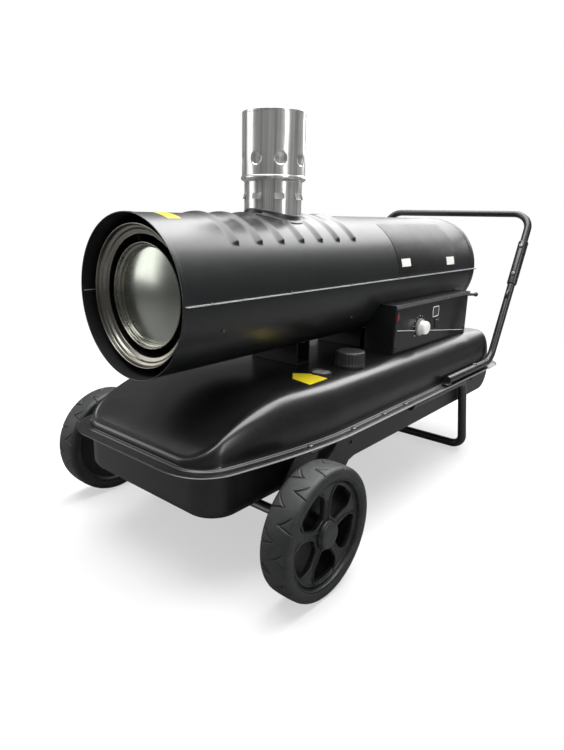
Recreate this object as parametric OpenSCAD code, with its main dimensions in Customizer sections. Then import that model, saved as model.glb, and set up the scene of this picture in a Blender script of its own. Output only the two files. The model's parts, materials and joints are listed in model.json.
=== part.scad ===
// Indirect diesel space heater on two wheels, with flue, tank, rear leg and push handle.
// Built with y = 0 at the cylinder's front edge, then moved so that the origin is under the middle.

/* [Cylinder] */
// Outer diameter of the cylinder
shell_d = 298; // [280:1:320]
// Length of the cylinder
shell_len = 1194; // [1150:1:1280]
// Height of the cylinder's axis over the floor
shell_z = 526; // [515:1:560]
// Sheet thickness of the shells and brackets
sheet = 1.5; // [1:0.1:2.5]
// How far the seam lip stands out of the shells
lip_w = 8; // [5:0.5:14]
// Number of pressed louvres
louvre_count = 7; // [3:1:8]
// Distance of the first louvre from the front edge
louvre_first = 165; // [150:1:170]
// Spacing of the louvres
louvre_pitch = 64.7; // [60:0.1:68]
// How far a louvre stands out of the shell
louvre_h = 5; // [3:0.5:8]
// Length of a louvre along the cylinder
louvre_len = 20; // [12:1:30]
// Angle of a louvre's lower ends over the seam
louvre_angle = 38; // [30:1:50]

/* [Hot end] */
// Outer diameter of the stainless outlet ring and its jacket
jacket_d = 263; // [255:1:270]
// Inner diameter of the jacket's air passage
jacket_in_d = 226; // [222:1:232]
// How far the outlet ring sits behind the front edge
ring_setback = 19; // [10:1:40]
// Depth of the outlet ring's cone
ring_depth = 19; // [12:1:24]
// Length of the jacket
jacket_len = 540; // [500:1:600]
// Diameter of the combustion drum
drum_d = 197; // [185:1:205]
// Length of the combustion drum
drum_len = 570; // [550:1:620]
// Diameter of the domed end plate
dome_d = 176; // [160:1:180]
// Height of the dome
dome_h = 9; // [4:1:14]
// Thickness of the stainless sheet
hot_sheet = 1.2; // [0.8:0.1:2]
// Diameter of the flame tube
flame_d = 90; // [70:1:110]
// Length of the flame tube
flame_len = 130; // [110:1:160]

/* [Flue] */
// Outer diameter of the upper flue socket
flue_d = 136; // [130:1:140]
// Outer diameter of the lower flue pipe
flue_low_d = 125; // [115:1:127]
// Wall of the flue pipes
flue_wall = 1; // [0.6:0.1:1.5]
// Distance of the flue from the front edge
flue_y = 391; // [385:1:397]
// Height of the flue's top over the cylinder's top
flue_high = 206; // [185:1:240]
// Height of the bead between the two pipes over the cylinder's top
flue_bead_up = 75; // [60:1:85]
// Height of the ring of draught holes over the cylinder's top
flue_hole_up = 112; // [105:1:130]
// Diameter of a draught hole
flue_hole_d = 22; // [14:1:26]
// Number of draught holes
flue_holes = 8; // [6:1:10]

/* [Tank] */
// Half-width of the hood's foot
foot_half = 238; // [230:1:242]
// How much narrower the foot is at the front, each side
foot_taper = 46; // [20:1:50]
// Distance of the hood's front foot from the cylinder's front edge
foot_front = -1; // [-10:1:5]
// Distance of the hood's rear foot from the cylinder's front edge
foot_rear = 1204; // [1195:1:1240]
// Width of the seam flange
flange_w = 30; // [26:1:34]
// Height of the flange's underside over the floor
flange_z = 240; // [235:1:245]
// Height of the hood over the flange
hood_h = 98; // [90:1:104]
// Height of the hood's nose as a share of its full height
nose_share = 0.16; // [0.1:0.01:0.3]
// Length of the sloped front of the hood
slope_len = 258; // [200:1:300]
// Width of the hood's rounded shoulder
shoulder = 65; // [50:1:68]
// Half-width of the lower pan
pan_half = 205; // [190:1:210]
// Height of the pan's bottom over the floor
pan_z = 139.5; // [138.5:0.5:150]
// Radius of the pan's bottom edge
pan_edge_r = 26; // [10:1:32]
// Diameter of the fuel cap
cap_d = 70; // [60:1:76]
// Height of the fuel cap
cap_h = 34; // [26:1:40]
// Distance of the fuel cap from the middle plane
cap_x = 158; // [150:1:165]
// Distance of the fuel cap from the front edge
cap_y = 492; // [470:1:520]
// Diameter of the fuel gauge
gauge_d = 46; // [36:1:52]
// Distance of the fuel gauge from the middle plane
gauge_x = 150; // [140:1:160]
// Distance of the fuel gauge from the front edge
gauge_y = 391; // [380:1:405]

/* [Wheels and leg] */
// Diameter of the tyres
wheel_d = 254; // [250:1:260]
// Width of the tyres
wheel_w = 62; // [50:1:64]
// Distance between the two tyres' inner faces
track_in = 583; // [570:1:600]
// Distance of the axle from the cylinder's front edge
axle_y = 156; // [150:1:165]
// Diameter of the rims
rim_d = 210; // [200:1:216]
// Diameter of the axle
axle_d = 20; // [16:1:22]
// Number of spokes
spokes = 5; // [4:1:7]
// Diameter of the leg's tube
leg_d = 24; // [18:1:26]
// Half-distance between the leg's uprights
leg_x = 245; // [242:1:250]
// Distance of the leg's ground bar from the front edge
leg_y = 1010; // [980:1:1040]
// Lean of the leg's uprights
leg_lean = 14; // [8:1:18]

/* [Handle] */
// Diameter of the handle's tube
grip_d = 22; // [18:1:25]
// Half-distance between the handle's tubes
grip_x = 252; // [251:1:254]
// Front end of the handle's lower tubes, from the front edge
grip_front = 832; // [800:1:870]
// Place where the lower tubes bend upwards
grip_bend_y = 1136; // [1120:1:1150]
// Height of the handle's top bar over the floor
grip_top = 694; // [650:1:740]
// Lean of the handle
grip_lean = 26; // [20:1:30]
// Bend radius of the handle's tubes
grip_r = 54; // [36:1:60]

/* [Control box] */
// Length of the control box
box_len = 445; // [400:1:470]
// Distance of the box from the front edge
box_y = 653; // [640:1:670]
// Height of the box's top over the floor
box_top = 466; // [458:1:474]
// Distance of the box's outer face from the middle plane
box_x = 178; // [172:1:184]
// Diameter of the temperature knob
knob_d = 46; // [36:1:50]
// How far the knob stands out
knob_h = 26; // [18:1:30]

/* [Fan and burner] */
// Diameter of the fan
fan_d = 276; // [250:1:284]
// Number of fan blades
blades = 5; // [4:1:7]
// Diameter of the motor
motor_d = 104; // [90:1:120]
// Diameter of the motor shaft
shaft_d = 12; // [10:1:14]
// Clearance of a turning shaft in its bore, on the radius
run_clear = 0.05; // [0.02:0.01:0.1]
// Clearance between pieces that don't touch while they move or meet on a curve
gap = 0.3; // [0.2:0.05:0.4]

/* [Hidden] */
$fn = 64;

shell_r = shell_d / 2;
shell_in = shell_r - sheet;
shell_top = shell_z + shell_r;
flue_top = shell_top + flue_high;
flue_bead_z = shell_top + flue_bead_up;
flue_hole_z = shell_top + flue_hole_up;
jacket_r = jacket_d / 2;
drum_r = drum_d / 2;
jacket_y = ring_setback + ring_depth;
drum_y = jacket_y;
drum_rear = drum_y + drum_len;
flue_r = flue_d / 2;
flue_low_r = flue_low_d / 2;
flange_t = sheet;
seam_z = flange_z + flange_t;
hood_z = seam_z + flange_t;
tank_top = hood_z + hood_h;
axle_z = wheel_d / 2;
axle_r = axle_d / 2;
leg_r = leg_d / 2;
grip_r0 = grip_d / 2;
grip_z = hood_z + grip_r0 + 0.9;
grip_rise = grip_top - grip_z;
bar_y = grip_bend_y + grip_rise * tan(grip_lean);
mid_y = (foot_front - flange_w + bar_y + grip_r0) / 2;
paint = "#1d1e20";
grey_paint = "#55585a";
stainless = "#b9b9b2";

// Moves a piece from the building frame to the object's own frame
module placed() translate([0, -mid_y, 0]) children();

// Cylinder along +Y from y to y + len, at x and z
module rod(d, len, y = 0, x = 0, z = 0) translate([x, y, z]) rotate([-90, 0, 0]) cylinder(d = d, h = len);

// Tube along +Y on the cylinder's axis
module tube_y(r_out, r_in, y, len)
    translate([0, y, shell_z]) rotate([-90, 0, 0]) difference() {
        cylinder(r = r_out, h = len);
        translate([0, 0, -1]) cylinder(r = r_in, h = len + 2);
    }

// Profile of radius and distance turned about the cylinder's axis
module turned(points) translate([0, 0, shell_z]) rotate([-90, 0, 0]) rotate_extrude() polygon(points);

// Round rod along +Z that bends towards its own +X; each step is a straight length, the angle and
// the radius of the bend at its end, and a roll about the rod before it. Thin cores cross the joints
module bent_rod(r, steps, i = 0) if (i < len(steps)) rotate([0, 0, steps[i][3]]) {
    cylinder(r = r, h = steps[i][0]);
    if (i > 0) translate([0, 0, -1]) cylinder(r = r * 0.8, h = 2);
    if (steps[i][1] > 0) translate([0, 0, steps[i][0] - 1]) cylinder(r = r * 0.8, h = 2);
    if (steps[i][1] > 0) translate([steps[i][2], 0, steps[i][0]]) {
        rotate([90, 0, 180]) rotate_extrude(angle = steps[i][1]) translate([steps[i][2], 0]) circle(r = r);
        translate([-steps[i][2] * cos(steps[i][1]), 0, steps[i][2] * sin(steps[i][1])])
            rotate([0, steps[i][1], 0]) bent_rod(r, steps, i + 1);
    }
}

/* Cylinder shells */

// One half of the shell's wall, from y = 0, upper where up is 1 and lower where up is -1
module half_wall(up) translate([0, 0, shell_z]) rotate([90, 0, 180]) linear_extrude(shell_len)
    intersection() {
        difference() {
            circle(r = shell_r);
            circle(r = shell_in);
        }
        translate([-shell_r - 1, up > 0 ? 0 : -shell_r - 1]) square([shell_d + 2, shell_r + 1]);
    }

// Lips along both sides of one half, lying on the seam plane
module seam_lips(up) for (side = [-1, 1])
    translate([side > 0 ? shell_in + 0.2 : -shell_r - lip_w, 0, up > 0 ? shell_z : shell_z - sheet])
        cube([lip_w + sheet - 0.2, shell_len, sheet]);

louvre_span = 180 - 2 * louvre_angle;

// Ring sector round the cylinder's axis, on a profile of radius and distance along +Y
module louvre_sector(points, angle, span)
    translate([0, 0, shell_z]) rotate([-90, 0, 0]) rotate([0, 0, -angle - span])
        rotate_extrude(angle = span) polygon(points);

collar_w = 9;
zone_r = flue_low_r + collar_w + 2;
zone_angle = acos(zone_r / shell_r);

// Start and span of each run of a louvre: one run, or two beside the flue's collar
function louvre_runs(y) = abs(y - louvre_len / 2 - flue_y) < zone_r + louvre_len / 2
    ? [[louvre_angle, zone_angle - louvre_angle], [180 - zone_angle, zone_angle - louvre_angle]]
    : [[louvre_angle, louvre_span]];
louvre_ys = [for (i = [0 : louvre_count - 1]) louvre_first + i * louvre_pitch];

// Clearance of the louvre lips on the wall
seat = 0.05;

module louvre_slot(y, run) louvre_sector([
    [shell_in - 1, y - louvre_len * 0.35], [shell_r + 1, y - louvre_len * 0.35], [shell_r + 1, y],
    [shell_in - 1, y]
    ], run[0] + 1, run[1] - 2);

// Wall of the upper half in bands, one round each louvre, with a faint step where two bands meet
band_step = 0.03;
function band_end(i) = i < 0 ? 0 : i == louvre_count ? shell_len : louvre_ys[i] + 0.4 * louvre_pitch;
module banded_wall() for (i = [0 : louvre_count]) let (d = (i % 2) * band_step)
    louvre_sector([[shell_in + d, band_end(i - 1)], [shell_r - d, band_end(i - 1)],
        [shell_r - d, band_end(i)], [shell_in + d, band_end(i)]], 0, 180);

module upper_shell() color(paint) placed() difference() {
    union() {
        difference() {
            banded_wall();
            for (y = louvre_ys, run = louvre_runs(y)) louvre_slot(y, run);
            translate([0, flue_y, shell_z + 20]) rotate([0, 0, 25])
                cylinder(r = flue_low_r + gap, h = shell_r + louvre_h + 10);
        }
        seam_lips(1);
    }
    seam_holes();
}

// Lips over the slots, open to the rear, each seated on the wall along its front edge
module louvres() color(paint) placed() for (y = louvre_ys, run = louvre_runs(y))
    louvre_sector([
        [shell_r + seat, y - louvre_len * 0.7], [shell_r + seat, y - louvre_len],
        [shell_r + seat + sheet * 0.5, y - louvre_len], [shell_r + louvre_h, y],
        [shell_r + louvre_h - sheet, y]
        ], run[0], run[1]);

module lower_shell() color(paint) placed() difference() {
    union() {
        half_wall(-1);
        seam_lips(-1);
    }
    seam_holes();
    for (y = saddle_ys) translate([0, y, shell_z - shell_r - 2]) cylinder(d = 6, h = 10);
    translate([filter_x, filter_y, shell_z - shell_r]) cylinder(r = line_r + gap, h = shell_r - 40);
}

screw_d = 4;
seam_screw_ys = [for (i = [0 : 5]) 60 + i * (shell_len - 120) / 5];
saddle_ys = [430, 700, 960];

module seam_holes() for (y = seam_screw_ys, side = [-1, 1])
    translate([side * (shell_r + lip_w / 2 + 0.5), y, shell_z - sheet - 1])
        cylinder(d = screw_d, h = 2 * sheet + 2);

// Pan-head screw standing along +Z, its head's underside at z = 0
module screw(head_d, head_h, shank_d, shank_len) {
    cylinder(d = head_d, h = head_h);
    translate([0, 0, -shank_len]) cylinder(d = shank_d, h = shank_len + 0.5);
}

// Screws of the cylinder's seam and of the tank's flange
module body_screws() color("silver") placed() for (side = [-1, 1]) {
    for (y = seam_screw_ys)
        translate([side * (shell_r + lip_w / 2 + 0.5), y, shell_z + sheet])
            screw(lip_w - 1, 2.4, screw_d - 0.4, 2 * sheet + 2);
    for (y = flange_screw_ys)
        translate([side * screw_x(y), y, hood_z]) screw(11, 4, 5, 2 * flange_t + 6);
}

/* Heat exchanger */

module outlet_ring() color(stainless) placed() turned([
    [jacket_r, ring_setback], [jacket_r, jacket_y], [jacket_r - hot_sheet, jacket_y],
    [jacket_r - hot_sheet, ring_setback + 4], [jacket_r - 5, ring_setback + ring_depth * 0.55],
    [jacket_r - 11, ring_setback + ring_depth * 0.6], [jacket_in_d / 2 + 1.5, jacket_y - 4],
    [jacket_in_d / 2 + 1.5, jacket_y], [jacket_in_d / 2, jacket_y], [jacket_in_d / 2, jacket_y - 6],
    [jacket_r - 11, ring_setback + ring_depth * 0.6 - 2],
    [jacket_r - 5, ring_setback + ring_depth * 0.55 - 2], [jacket_r - 2, ring_setback]
    ]);

module exchanger_jacket() color(stainless) placed() difference() {
    turned([
        [jacket_r, jacket_y], [jacket_r, jacket_y + jacket_len],
        [jacket_in_d / 2, jacket_y + jacket_len], [jacket_in_d / 2, jacket_y],
        [jacket_in_d / 2 + hot_sheet, jacket_y],
        [jacket_in_d / 2 + hot_sheet, jacket_y + jacket_len - hot_sheet],
        [jacket_r - hot_sheet, jacket_y + jacket_len - hot_sheet], [jacket_r - hot_sheet, jacket_y]
        ]);
    translate([0, flue_y, shell_z + jacket_in_d / 2 + 2]) cylinder(r = flue_low_r - 3, h = jacket_r);
}

bracket_ys = [jacket_y + 70, jacket_y + jacket_len - 70];

// Small posts that hold the jacket in the shells
module jacket_brackets() color("silver") placed() for (y = bracket_ys, a = [20, 160, 225, 315])
    translate([0, y, shell_z]) rotate([0, 90 - a, 0])
        translate([0, 0, jacket_r + gap]) rotate([0, 0, 0])
            cylinder(d = 14, h = shell_in - jacket_r - 2 * gap - 0.2);

module combustion_drum() color(stainless) placed() turned([
    [drum_r, drum_y + 9], [drum_r, drum_rear], [flame_d / 2 + gap, drum_rear],
    [flame_d / 2 + gap, drum_rear - hot_sheet], [drum_r - hot_sheet, drum_rear - hot_sheet],
    [drum_r - hot_sheet, drum_y + 9]
    ]);

// Rolled rim, a step and a shallow dome that closes the drum's front
module drum_end() color(stainless) placed() turned(concat(
    [[0, drum_y + 16 - dome_h]],
    [for (i = [1 : 8]) let (r = dome_d / 2 * i / 8)
        [r, drum_y + 16 - dome_h * (1 - pow(r / (dome_d / 2), 2))]],
    [[drum_r - 5, drum_y + 8], [drum_r - 5, drum_y + 3], [drum_r - 2, drum_y], [drum_r, drum_y + 1],
        [drum_r, drum_y + 9], [drum_r - 3, drum_y + 9], [dome_d / 2 + 1, drum_y + 18],
        [0, drum_y + 18]]
    ));

// Two exhaust ducts and four stays between drum and jacket
module drum_supports() color(stainless) placed()
    for (y = [drum_y + 60, drum_y + jacket_len - 60], a = [45, 135, 225, 315])
    translate([0, y, shell_z]) rotate([0, 90 - a, 0]) translate([0, 0, drum_r + gap])
        cylinder(d = y > 300 ? 34 : 10, h = jacket_in_d / 2 - drum_r - 2 * gap - (y > 300 ? 1.4 : 0.1));

/* Flue */

flue_foot = shell_z + jacket_r;

module flue_lower() color(stainless) placed() difference() {
    translate([0, flue_y, 0]) difference() {
        union() {
            translate([0, 0, shell_z + jacket_r * 0.7])
                cylinder(r = flue_low_r, h = flue_bead_z - shell_z - jacket_r * 0.7);
            for (i = [0 : flue_holes - 1]) rotate([0, 0, 8 + i * 360 / flue_holes])
                translate([flue_low_r - 1, -10, flue_bead_z - 40]) cube([3.5, 20, 2.5]);
        }
        translate([0, 0, shell_z]) cylinder(r = flue_low_r - flue_wall, h = flue_top - shell_z);
    }
    rod(jacket_d + 2 * gap, shell_len, 0, 0, shell_z);
}

// Wide socket with draught holes, a rolled bead at its foot and a lock seam
module flue_upper() color(stainless) placed() translate([0, flue_y, 0]) difference() {
    union() {
        rotate_extrude() polygon([
            [flue_low_r + gap / 3, flue_bead_z - 5], [flue_low_r + 4, flue_bead_z - 6],
            [flue_r + 1, flue_bead_z - 4], [flue_r + 2, flue_bead_z],
            [flue_r + 1, flue_bead_z + 4], [flue_r, flue_bead_z + 6], [flue_r, flue_top],
            [flue_r - flue_wall, flue_top], [flue_r - flue_wall, flue_bead_z + 3],
            [flue_low_r + gap / 3, flue_bead_z + 1]
            ]);
        rotate([0, 0, 30]) translate([flue_r - 0.5, -5, flue_bead_z + 5])
            cube([1.5, 10, flue_top - flue_bead_z - 5]);
    }
    for (i = [0 : flue_holes - 1]) rotate([0, 0, 8 + i * 360 / flue_holes])
        translate([flue_r - 8, 0, flue_hole_z]) rotate([0, 90, 0]) cylinder(d = flue_hole_d, h = 16);
}

// Saddle-shaped collar that closes the gap between flue and shell
module flue_collar() color(paint) placed() difference() {
    translate([0, flue_y, shell_z]) cylinder(r = flue_low_r + collar_w, h = shell_r + 14);
    translate([0, flue_y, shell_z]) cylinder(r = flue_low_r + gap, h = shell_r + 20);
    rod(shell_d + 2 * gap, shell_len, 0, 0, shell_z);
    translate([0, flue_y, shell_z]) difference() {
        cylinder(r = flue_low_r + 20, h = shell_r + 20);
        cylinder(r = flue_low_r + 3, h = shell_r + 20);
        rod(shell_d + 5, 400, -200);
    }
}

/* Burner */

flame_y = drum_rear - 30;
plate_y = flame_y + flame_len;
plate_t = 6;

module flame_tube() color(stainless) placed() tube_y(flame_d / 2, flame_d / 2 - 1.5, flame_y, flame_len);

// Round plate behind the flame tube, with air slots and holes for what passes through it
module burner_plate() color("dimgray") placed() difference() {
    union() {
        rod(flame_d + 30, plate_t, plate_y, 0, shell_z);
        for (a = [90, 202, 338]) rod(7, pump_y - plate_y, plate_y, 27 * cos(a), shell_z + 27 * sin(a));
    }
    rod(18 + 2 * gap, 30, plate_y - 10, 0, shell_z);
    rod(14 + 2 * gap, 30, plate_y - 10, 0, shell_z - 30);
    for (side = [-1, 1]) rod(8 + 2 * gap, 30, plate_y - 10, side * 18, shell_z + 18);
    for (a = [0, 45, 135, 180, 230, 310]) rod(9, 30, plate_y - 10, 36 * cos(a), shell_z + 36 * sin(a));
}

module nozzle() color("goldenrod") placed() {
    rod(18, 78, plate_y - 60, 0, shell_z);
    rod(22, 4, plate_y + plate_t + gap, 0, shell_z);
    translate([0, plate_y - 76, shell_z]) rotate([-90, 30, 0]) cylinder(d = 16, h = 17, $fn = 6);
    rod(6, 6, plate_y - 80, 0, shell_z);
}

module electrodes() color("ivory") placed() for (side = [-1, 1]) {
    rod(8, 80, plate_y - 60, side * 18, shell_z + 18);
    rod(2.5, 30, plate_y - 88, side * 18, shell_z + 18);
    rod(13, 4, plate_y + plate_t + gap, side * 18, shell_z + 18);
}

module photocell() color("darkorange") placed() {
    rod(14, 34, plate_y - 10, 0, shell_z - 30);
    rod(20, 8, plate_y + plate_t + gap, 0, shell_z - 30);
}

/* Motor, fan and pump */

pump_y = plate_y + 40;
pump_len = 46;
motor_y = pump_y + pump_len;
motor_len = 130;
fan_y = motor_y + motor_len + 70;
hub_d = 60;
hub_len = 34;

module motor() color("slategray") placed() difference() {
    union() {
        rod(motor_d, motor_len, motor_y, 0, shell_z);
        rod(34, 8, motor_y + motor_len - 1, 0, shell_z);
        for (a = [0 : 30 : 330]) translate([0, motor_y + 10, shell_z]) rotate([0, a, 0])
            translate([motor_d / 2 - 1, 0, -2]) cube([4, motor_len - 20, 4]);
    }
    rod(shaft_d + 2 * run_clear, motor_len + 40, motor_y - 10, 0, shell_z);
}

module fuel_pump() color("silver") placed() difference() {
    union() {
        rod(64, pump_len, pump_y, 0, shell_z);
        translate([-18, pump_y + 6, shell_z - 44]) cube([36, 30, 26]);
        translate([0, pump_y + 20, shell_z + 26]) cylinder(d = 22, h = 34);
    }
    rod(shaft_d + 2 * run_clear, pump_len, pump_y + 5, 0, shell_z);
}

// Clamp ring round the motor with three flat arms to the shells
module motor_bracket() color("dimgray") placed() {
    tube_y(motor_d / 2 + 12, motor_d / 2 + 3 + gap, motor_y + 50, 24);
    for (a = [60, 180, 300]) translate([0, motor_y + 50, shell_z]) rotate([0, a, 0])
        translate([-10, 0, motor_d / 2 + 11]) cube([20, 24, shell_in - motor_d / 2 - 11 - 1]);
    for (a = [15, 135, 255]) translate([0, motor_y + 62, shell_z]) rotate([0, a, 0])
        translate([0, 0, motor_d / 2 + gap]) cylinder(d = 10, h = 9);
}

module motor_shaft() color("silver") placed()
    rod(shaft_d, fan_y + hub_len - pump_y + 4, pump_y + 6, 0, shell_z);

// One twisted fan blade as a closed skin between hub and tip
blade_rows = 5;
function blade_turn(t) = 46 - 18 * t;
function blade_chord(t) = 52 + 40 * sin(90 * t);
function blade_point(t, u, side) = let (r = hub_d / 2 - 3 + t * (fan_d / 2 - hub_d / 2 + 3),
    c = (u - 0.5) * blade_chord(t), a = blade_turn(t), k = 6 * (1 - pow(2 * u - 1, 2)),
    across = c * sin(a) * -1 - (k + side * 0.8) * cos(a),
    along = c * cos(a) - (k + side * 0.8) * sin(a)) [across, along * 0.42, sqrt(r * r - pow(across / 2, 2))];
module blade() {
    cols = 6;
    pts = [for (side = [-1, 1], i = [0 : blade_rows], j = [0 : cols])
        blade_point(i / blade_rows, j / cols, side)];
    n = (blade_rows + 1) * (cols + 1);
    function id(s, i, j) = s * n + i * (cols + 1) + j;
    rim = concat(
        [for (i = [0 : blade_rows - 1]) [id(0, i, 0), id(0, i + 1, 0), id(1, i + 1, 0), id(1, i, 0)]],
        [for (i = [0 : blade_rows - 1])
            [id(0, i + 1, cols), id(0, i, cols), id(1, i, cols), id(1, i + 1, cols)]],
        [for (j = [0 : cols - 1]) [id(0, 0, j + 1), id(0, 0, j), id(1, 0, j), id(1, 0, j + 1)]],
        [for (j = [0 : cols - 1]) [id(0, blade_rows, j), id(0, blade_rows, j + 1),
            id(1, blade_rows, j + 1), id(1, blade_rows, j)]]);
    skins = [for (i = [0 : blade_rows - 1], j = [0 : cols - 1], s = [0, 1]) s == 0
        ? [id(0, i, j), id(0, i, j + 1), id(0, i + 1, j + 1), id(0, i + 1, j)]
        : [id(1, i, j), id(1, i + 1, j), id(1, i + 1, j + 1), id(1, i, j + 1)]];
    tris = [for (f = concat(skins, rim)) each [[f[0], f[2], f[1]], [f[0], f[3], f[2]]]];
    polyhedron(pts, tris);
}

module fan_rotor() color("gray") placed() difference() {
    union() {
        rod(hub_d, hub_len, fan_y, 0, shell_z);
        for (k = [0 : blades - 1]) translate([0, fan_y + hub_len / 2, shell_z])
            rotate([0, k * 360 / blades, 0]) blade();
    }
    rod(shaft_d + 0.06, hub_len + 20, fan_y - 10, 0, shell_z);
}

// Intake guard: wire rings and spokes on a flat band inside the shells' rear end
guard_y = shell_len - 14;
wire = 4;
band_r = shell_in - gap;
module rear_guard() color(paint) placed() {
    for (r = [24 : 24 : 120]) translate([0, guard_y, shell_z]) rotate([-90, 0, 0])
        rotate_extrude($fn = 48) translate([r, 0]) circle(d = wire, $fn = 16);
    for (a = [0 : 45 : 315]) translate([0, guard_y - 2, shell_z]) rotate([0, a, 0])
        translate([-1.5, -1, 18]) cube([3, 2.4, band_r - 18 - sheet / 2]);
    rod(48, 3, guard_y - 3.5, 0, shell_z);
    tube_y(band_r, band_r - sheet, guard_y - 28, 42);
}

// Fuel line from the filter up to the pump, and the short one from the pump to the nozzle
line_r = 3;
line_bend = 20;
filter_x = -120;
filter_y = pump_y + 21;
filter_top = tank_top + 18;
line_z = shell_z - 31;
module fuel_lines() color("goldenrod") placed() {
    translate([filter_x, filter_y, filter_top])
        bent_rod(line_r, [[line_z - line_bend - filter_top, 90, line_bend, 0],
            [-filter_x - 18 - line_bend, 0, 0, 0]]);
    rod(2 * line_r, pump_y - plate_y - 18, plate_y + 18, 0, shell_z);
}

/* Tank */

corner_r = 70;
rear_r = 62;
rear_shoulder = 42;
taper_len = 300;
taper_end = foot_front + taper_len + 49;
function half_at(y) = foot_half - foot_taper * pow(max(0, (taper_end - y) / taper_len), 1.6);
function lean_at(y) = atan(1.6 * foot_taper / taper_len * pow(max(0, (taper_end - y) / taper_len), 0.6));
arc_lean = lean_at(foot_front + corner_r * 0.8);
arc_end_y = foot_front + corner_r * (1 - sin(arc_lean));
arc_x = half_at(arc_end_y) - corner_r * cos(arc_lean);
side_ys = [for (i = [1 : 8]) arc_end_y + (taper_end - arc_end_y) * i / 8];

// Right half of the hood's foot from front to rear: x, y and the outward direction
foot_right = concat(
    [for (i = [0 : 8]) let (a = -90 + i * (90 - arc_lean) / 8)
        [arc_x + corner_r * cos(a), foot_front + corner_r + corner_r * sin(a), cos(a), sin(a)]],
    [for (y = side_ys) let (a = lean_at(y)) [half_at(y), y, cos(a), -sin(a)]],
    [for (i = [0 : 7]) let (a = i * 90 / 7)
        [foot_half - rear_r + rear_r * cos(a), foot_rear - rear_r + rear_r * sin(a), cos(a), sin(a)]]);
half_n = len(foot_right);
foot_all = concat(foot_right, [for (i = [half_n - 1 : -1 : 0])
    [-foot_right[i][0], foot_right[i][1], -foot_right[i][2], foot_right[i][3]]]);
foot_n = len(foot_all);

// Closed outline of the foot moved inwards by d
function outline(d) = [for (p = foot_all) [p[0] - d * p[2], p[1] - d * p[3]]];

// Share of the full height reached at y, along the sloped front
function rise_at(y) = 1 - (1 - nose_share)
    * pow(max(0, min(1, (foot_front + slope_len - y) / slope_len)), 2.15);
function shoulder_at(y) = let (front = 8 + (shoulder - 8) * pow(rise_at(y), 2),
    back = max(0, min(1, (y - foot_rear + 160) / 100))) front + (rear_shoulder - front) * back;
function rounded(s) = pow(1 - pow(1 - min(1, s), 2.5), 0.4);

shares = [0, 0.02, 0.08, 0.18, 0.32, 0.5, 0.72, 1];

// Ring of hood points: share s of the shoulder's width, wall t deep
function hood_ring(s, t) = [for (p = foot_all) let (w = shoulder_at(p[1]) - t, d = t + s * w)
    [p[0] - d * p[2], p[1] - d * p[3],
        hood_z - flange_t + (hood_h + flange_t - t) * rise_at(p[1]) * rounded(s)]];
function flat_ring(d, z) = [for (p = foot_all) [p[0] - d * p[2], p[1] - d * p[3], z]];

// Closed skin: flange, groove, shoulder and top, then the same way back inside
module hood_skin() {
    outer = concat([flat_ring(-flange_w, seam_z), flat_ring(-flange_w, hood_z), flat_ring(-9, hood_z),
        flat_ring(-7, hood_z + 3), flat_ring(-4, hood_z + 3), flat_ring(-2, hood_z)],
        [for (i = [1 : len(shares) - 1]) hood_ring(shares[i], 0)]);
    inner = concat([for (i = [len(shares) - 1 : -1 : 1]) hood_ring(shares[i], sheet)],
        [flat_ring(sheet, seam_z)]);
    rings = concat(outer, inner);
    n = foot_n;
    pts = [for (r = rings) each r];
    top_row = len(outer) - 1;
    in_row = len(outer);
    function at(r, m) = r * n + (m % n);
    walls = [for (r = [0 : len(rings) - 1], m = [0 : n - 1]) if (r != top_row)
        let (r2 = (r + 1) % len(rings)) each [[at(r, m), at(r2, m), at(r2, m + 1)],
            [at(r, m), at(r2, m + 1), at(r, m + 1)]]];
    caps = [for (m = [0 : half_n - 2]) each [
        [at(top_row, m), at(top_row, n - 1 - m), at(top_row, n - 2 - m)],
        [at(top_row, m), at(top_row, n - 2 - m), at(top_row, m + 1)],
        [at(in_row, m), at(in_row, n - 2 - m), at(in_row, n - 1 - m)],
        [at(in_row, m), at(in_row, m + 1), at(in_row, n - 2 - m)]]];
    polyhedron(pts, concat(walls, caps));
}

neck_d = cap_d - 20;

module tank_hood() color(paint) placed() difference() {
    hood_skin();
    translate([cap_x, cap_y, tank_top - 20]) cylinder(d = neck_d - 8, h = 40);
    translate([gauge_x, gauge_y, tank_top - 20]) cylinder(d = gauge_d - 16, h = 40);
    flange_holes();
}

pan_front = foot_front + 9;
pan_rear = foot_rear - 12;
pan_corner = 66;

// Rounded box of the pan, made smaller by t all round
module pan_block(t) hull() for (x = [-1, 1], y = [pan_front + pan_corner, pan_rear - pan_corner])
    translate([x * (pan_half - pan_corner), y, 0]) {
        translate([0, 0, pan_z + pan_edge_r])
            cylinder(r = pan_corner - t, h = seam_z - pan_z - pan_edge_r + (t > 0 ? 5 : 0), $fn = 32);
        translate([0, 0, pan_z + t]) cylinder(r = pan_corner - pan_edge_r, h = 1, $fn = 32);
        translate([0, 0, pan_z + pan_edge_r * 0.3 + t * 0.5])
            cylinder(r = pan_corner - pan_edge_r * 0.3 - t, h = 1, $fn = 32);
    }

module tank_pan() color(grey_paint) placed() difference() {
    union() {
        pan_block(0);
        translate([0, 0, flange_z]) linear_extrude(flange_t) polygon(outline(-flange_w));
    }
    pan_block(sheet);
    flange_holes();
    translate([0, drain_y, pan_z - 1]) cylinder(d = 16 + gap, h = 10);
}

drain_y = 1080;
flange_screw_ys = [axle_y + 78, axle_y + 217, 500, 600];
flange_screw_x = foot_half + flange_w * 0.5;
function screw_x(y) = half_at(y) + flange_w * 0.5;

module flange_holes() for (y = flange_screw_ys, side = [-1, 1])
    translate([side * screw_x(y), y, flange_z - 1]) cylinder(d = 6, h = 10);

module drain_plug() color("dimgray") placed() translate([0, drain_y, pan_z]) {
    translate([0, 0, -7]) cylinder(d = 26, h = 7, $fn = 6);
    cylinder(d = 16, h = 8);
}

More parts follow.
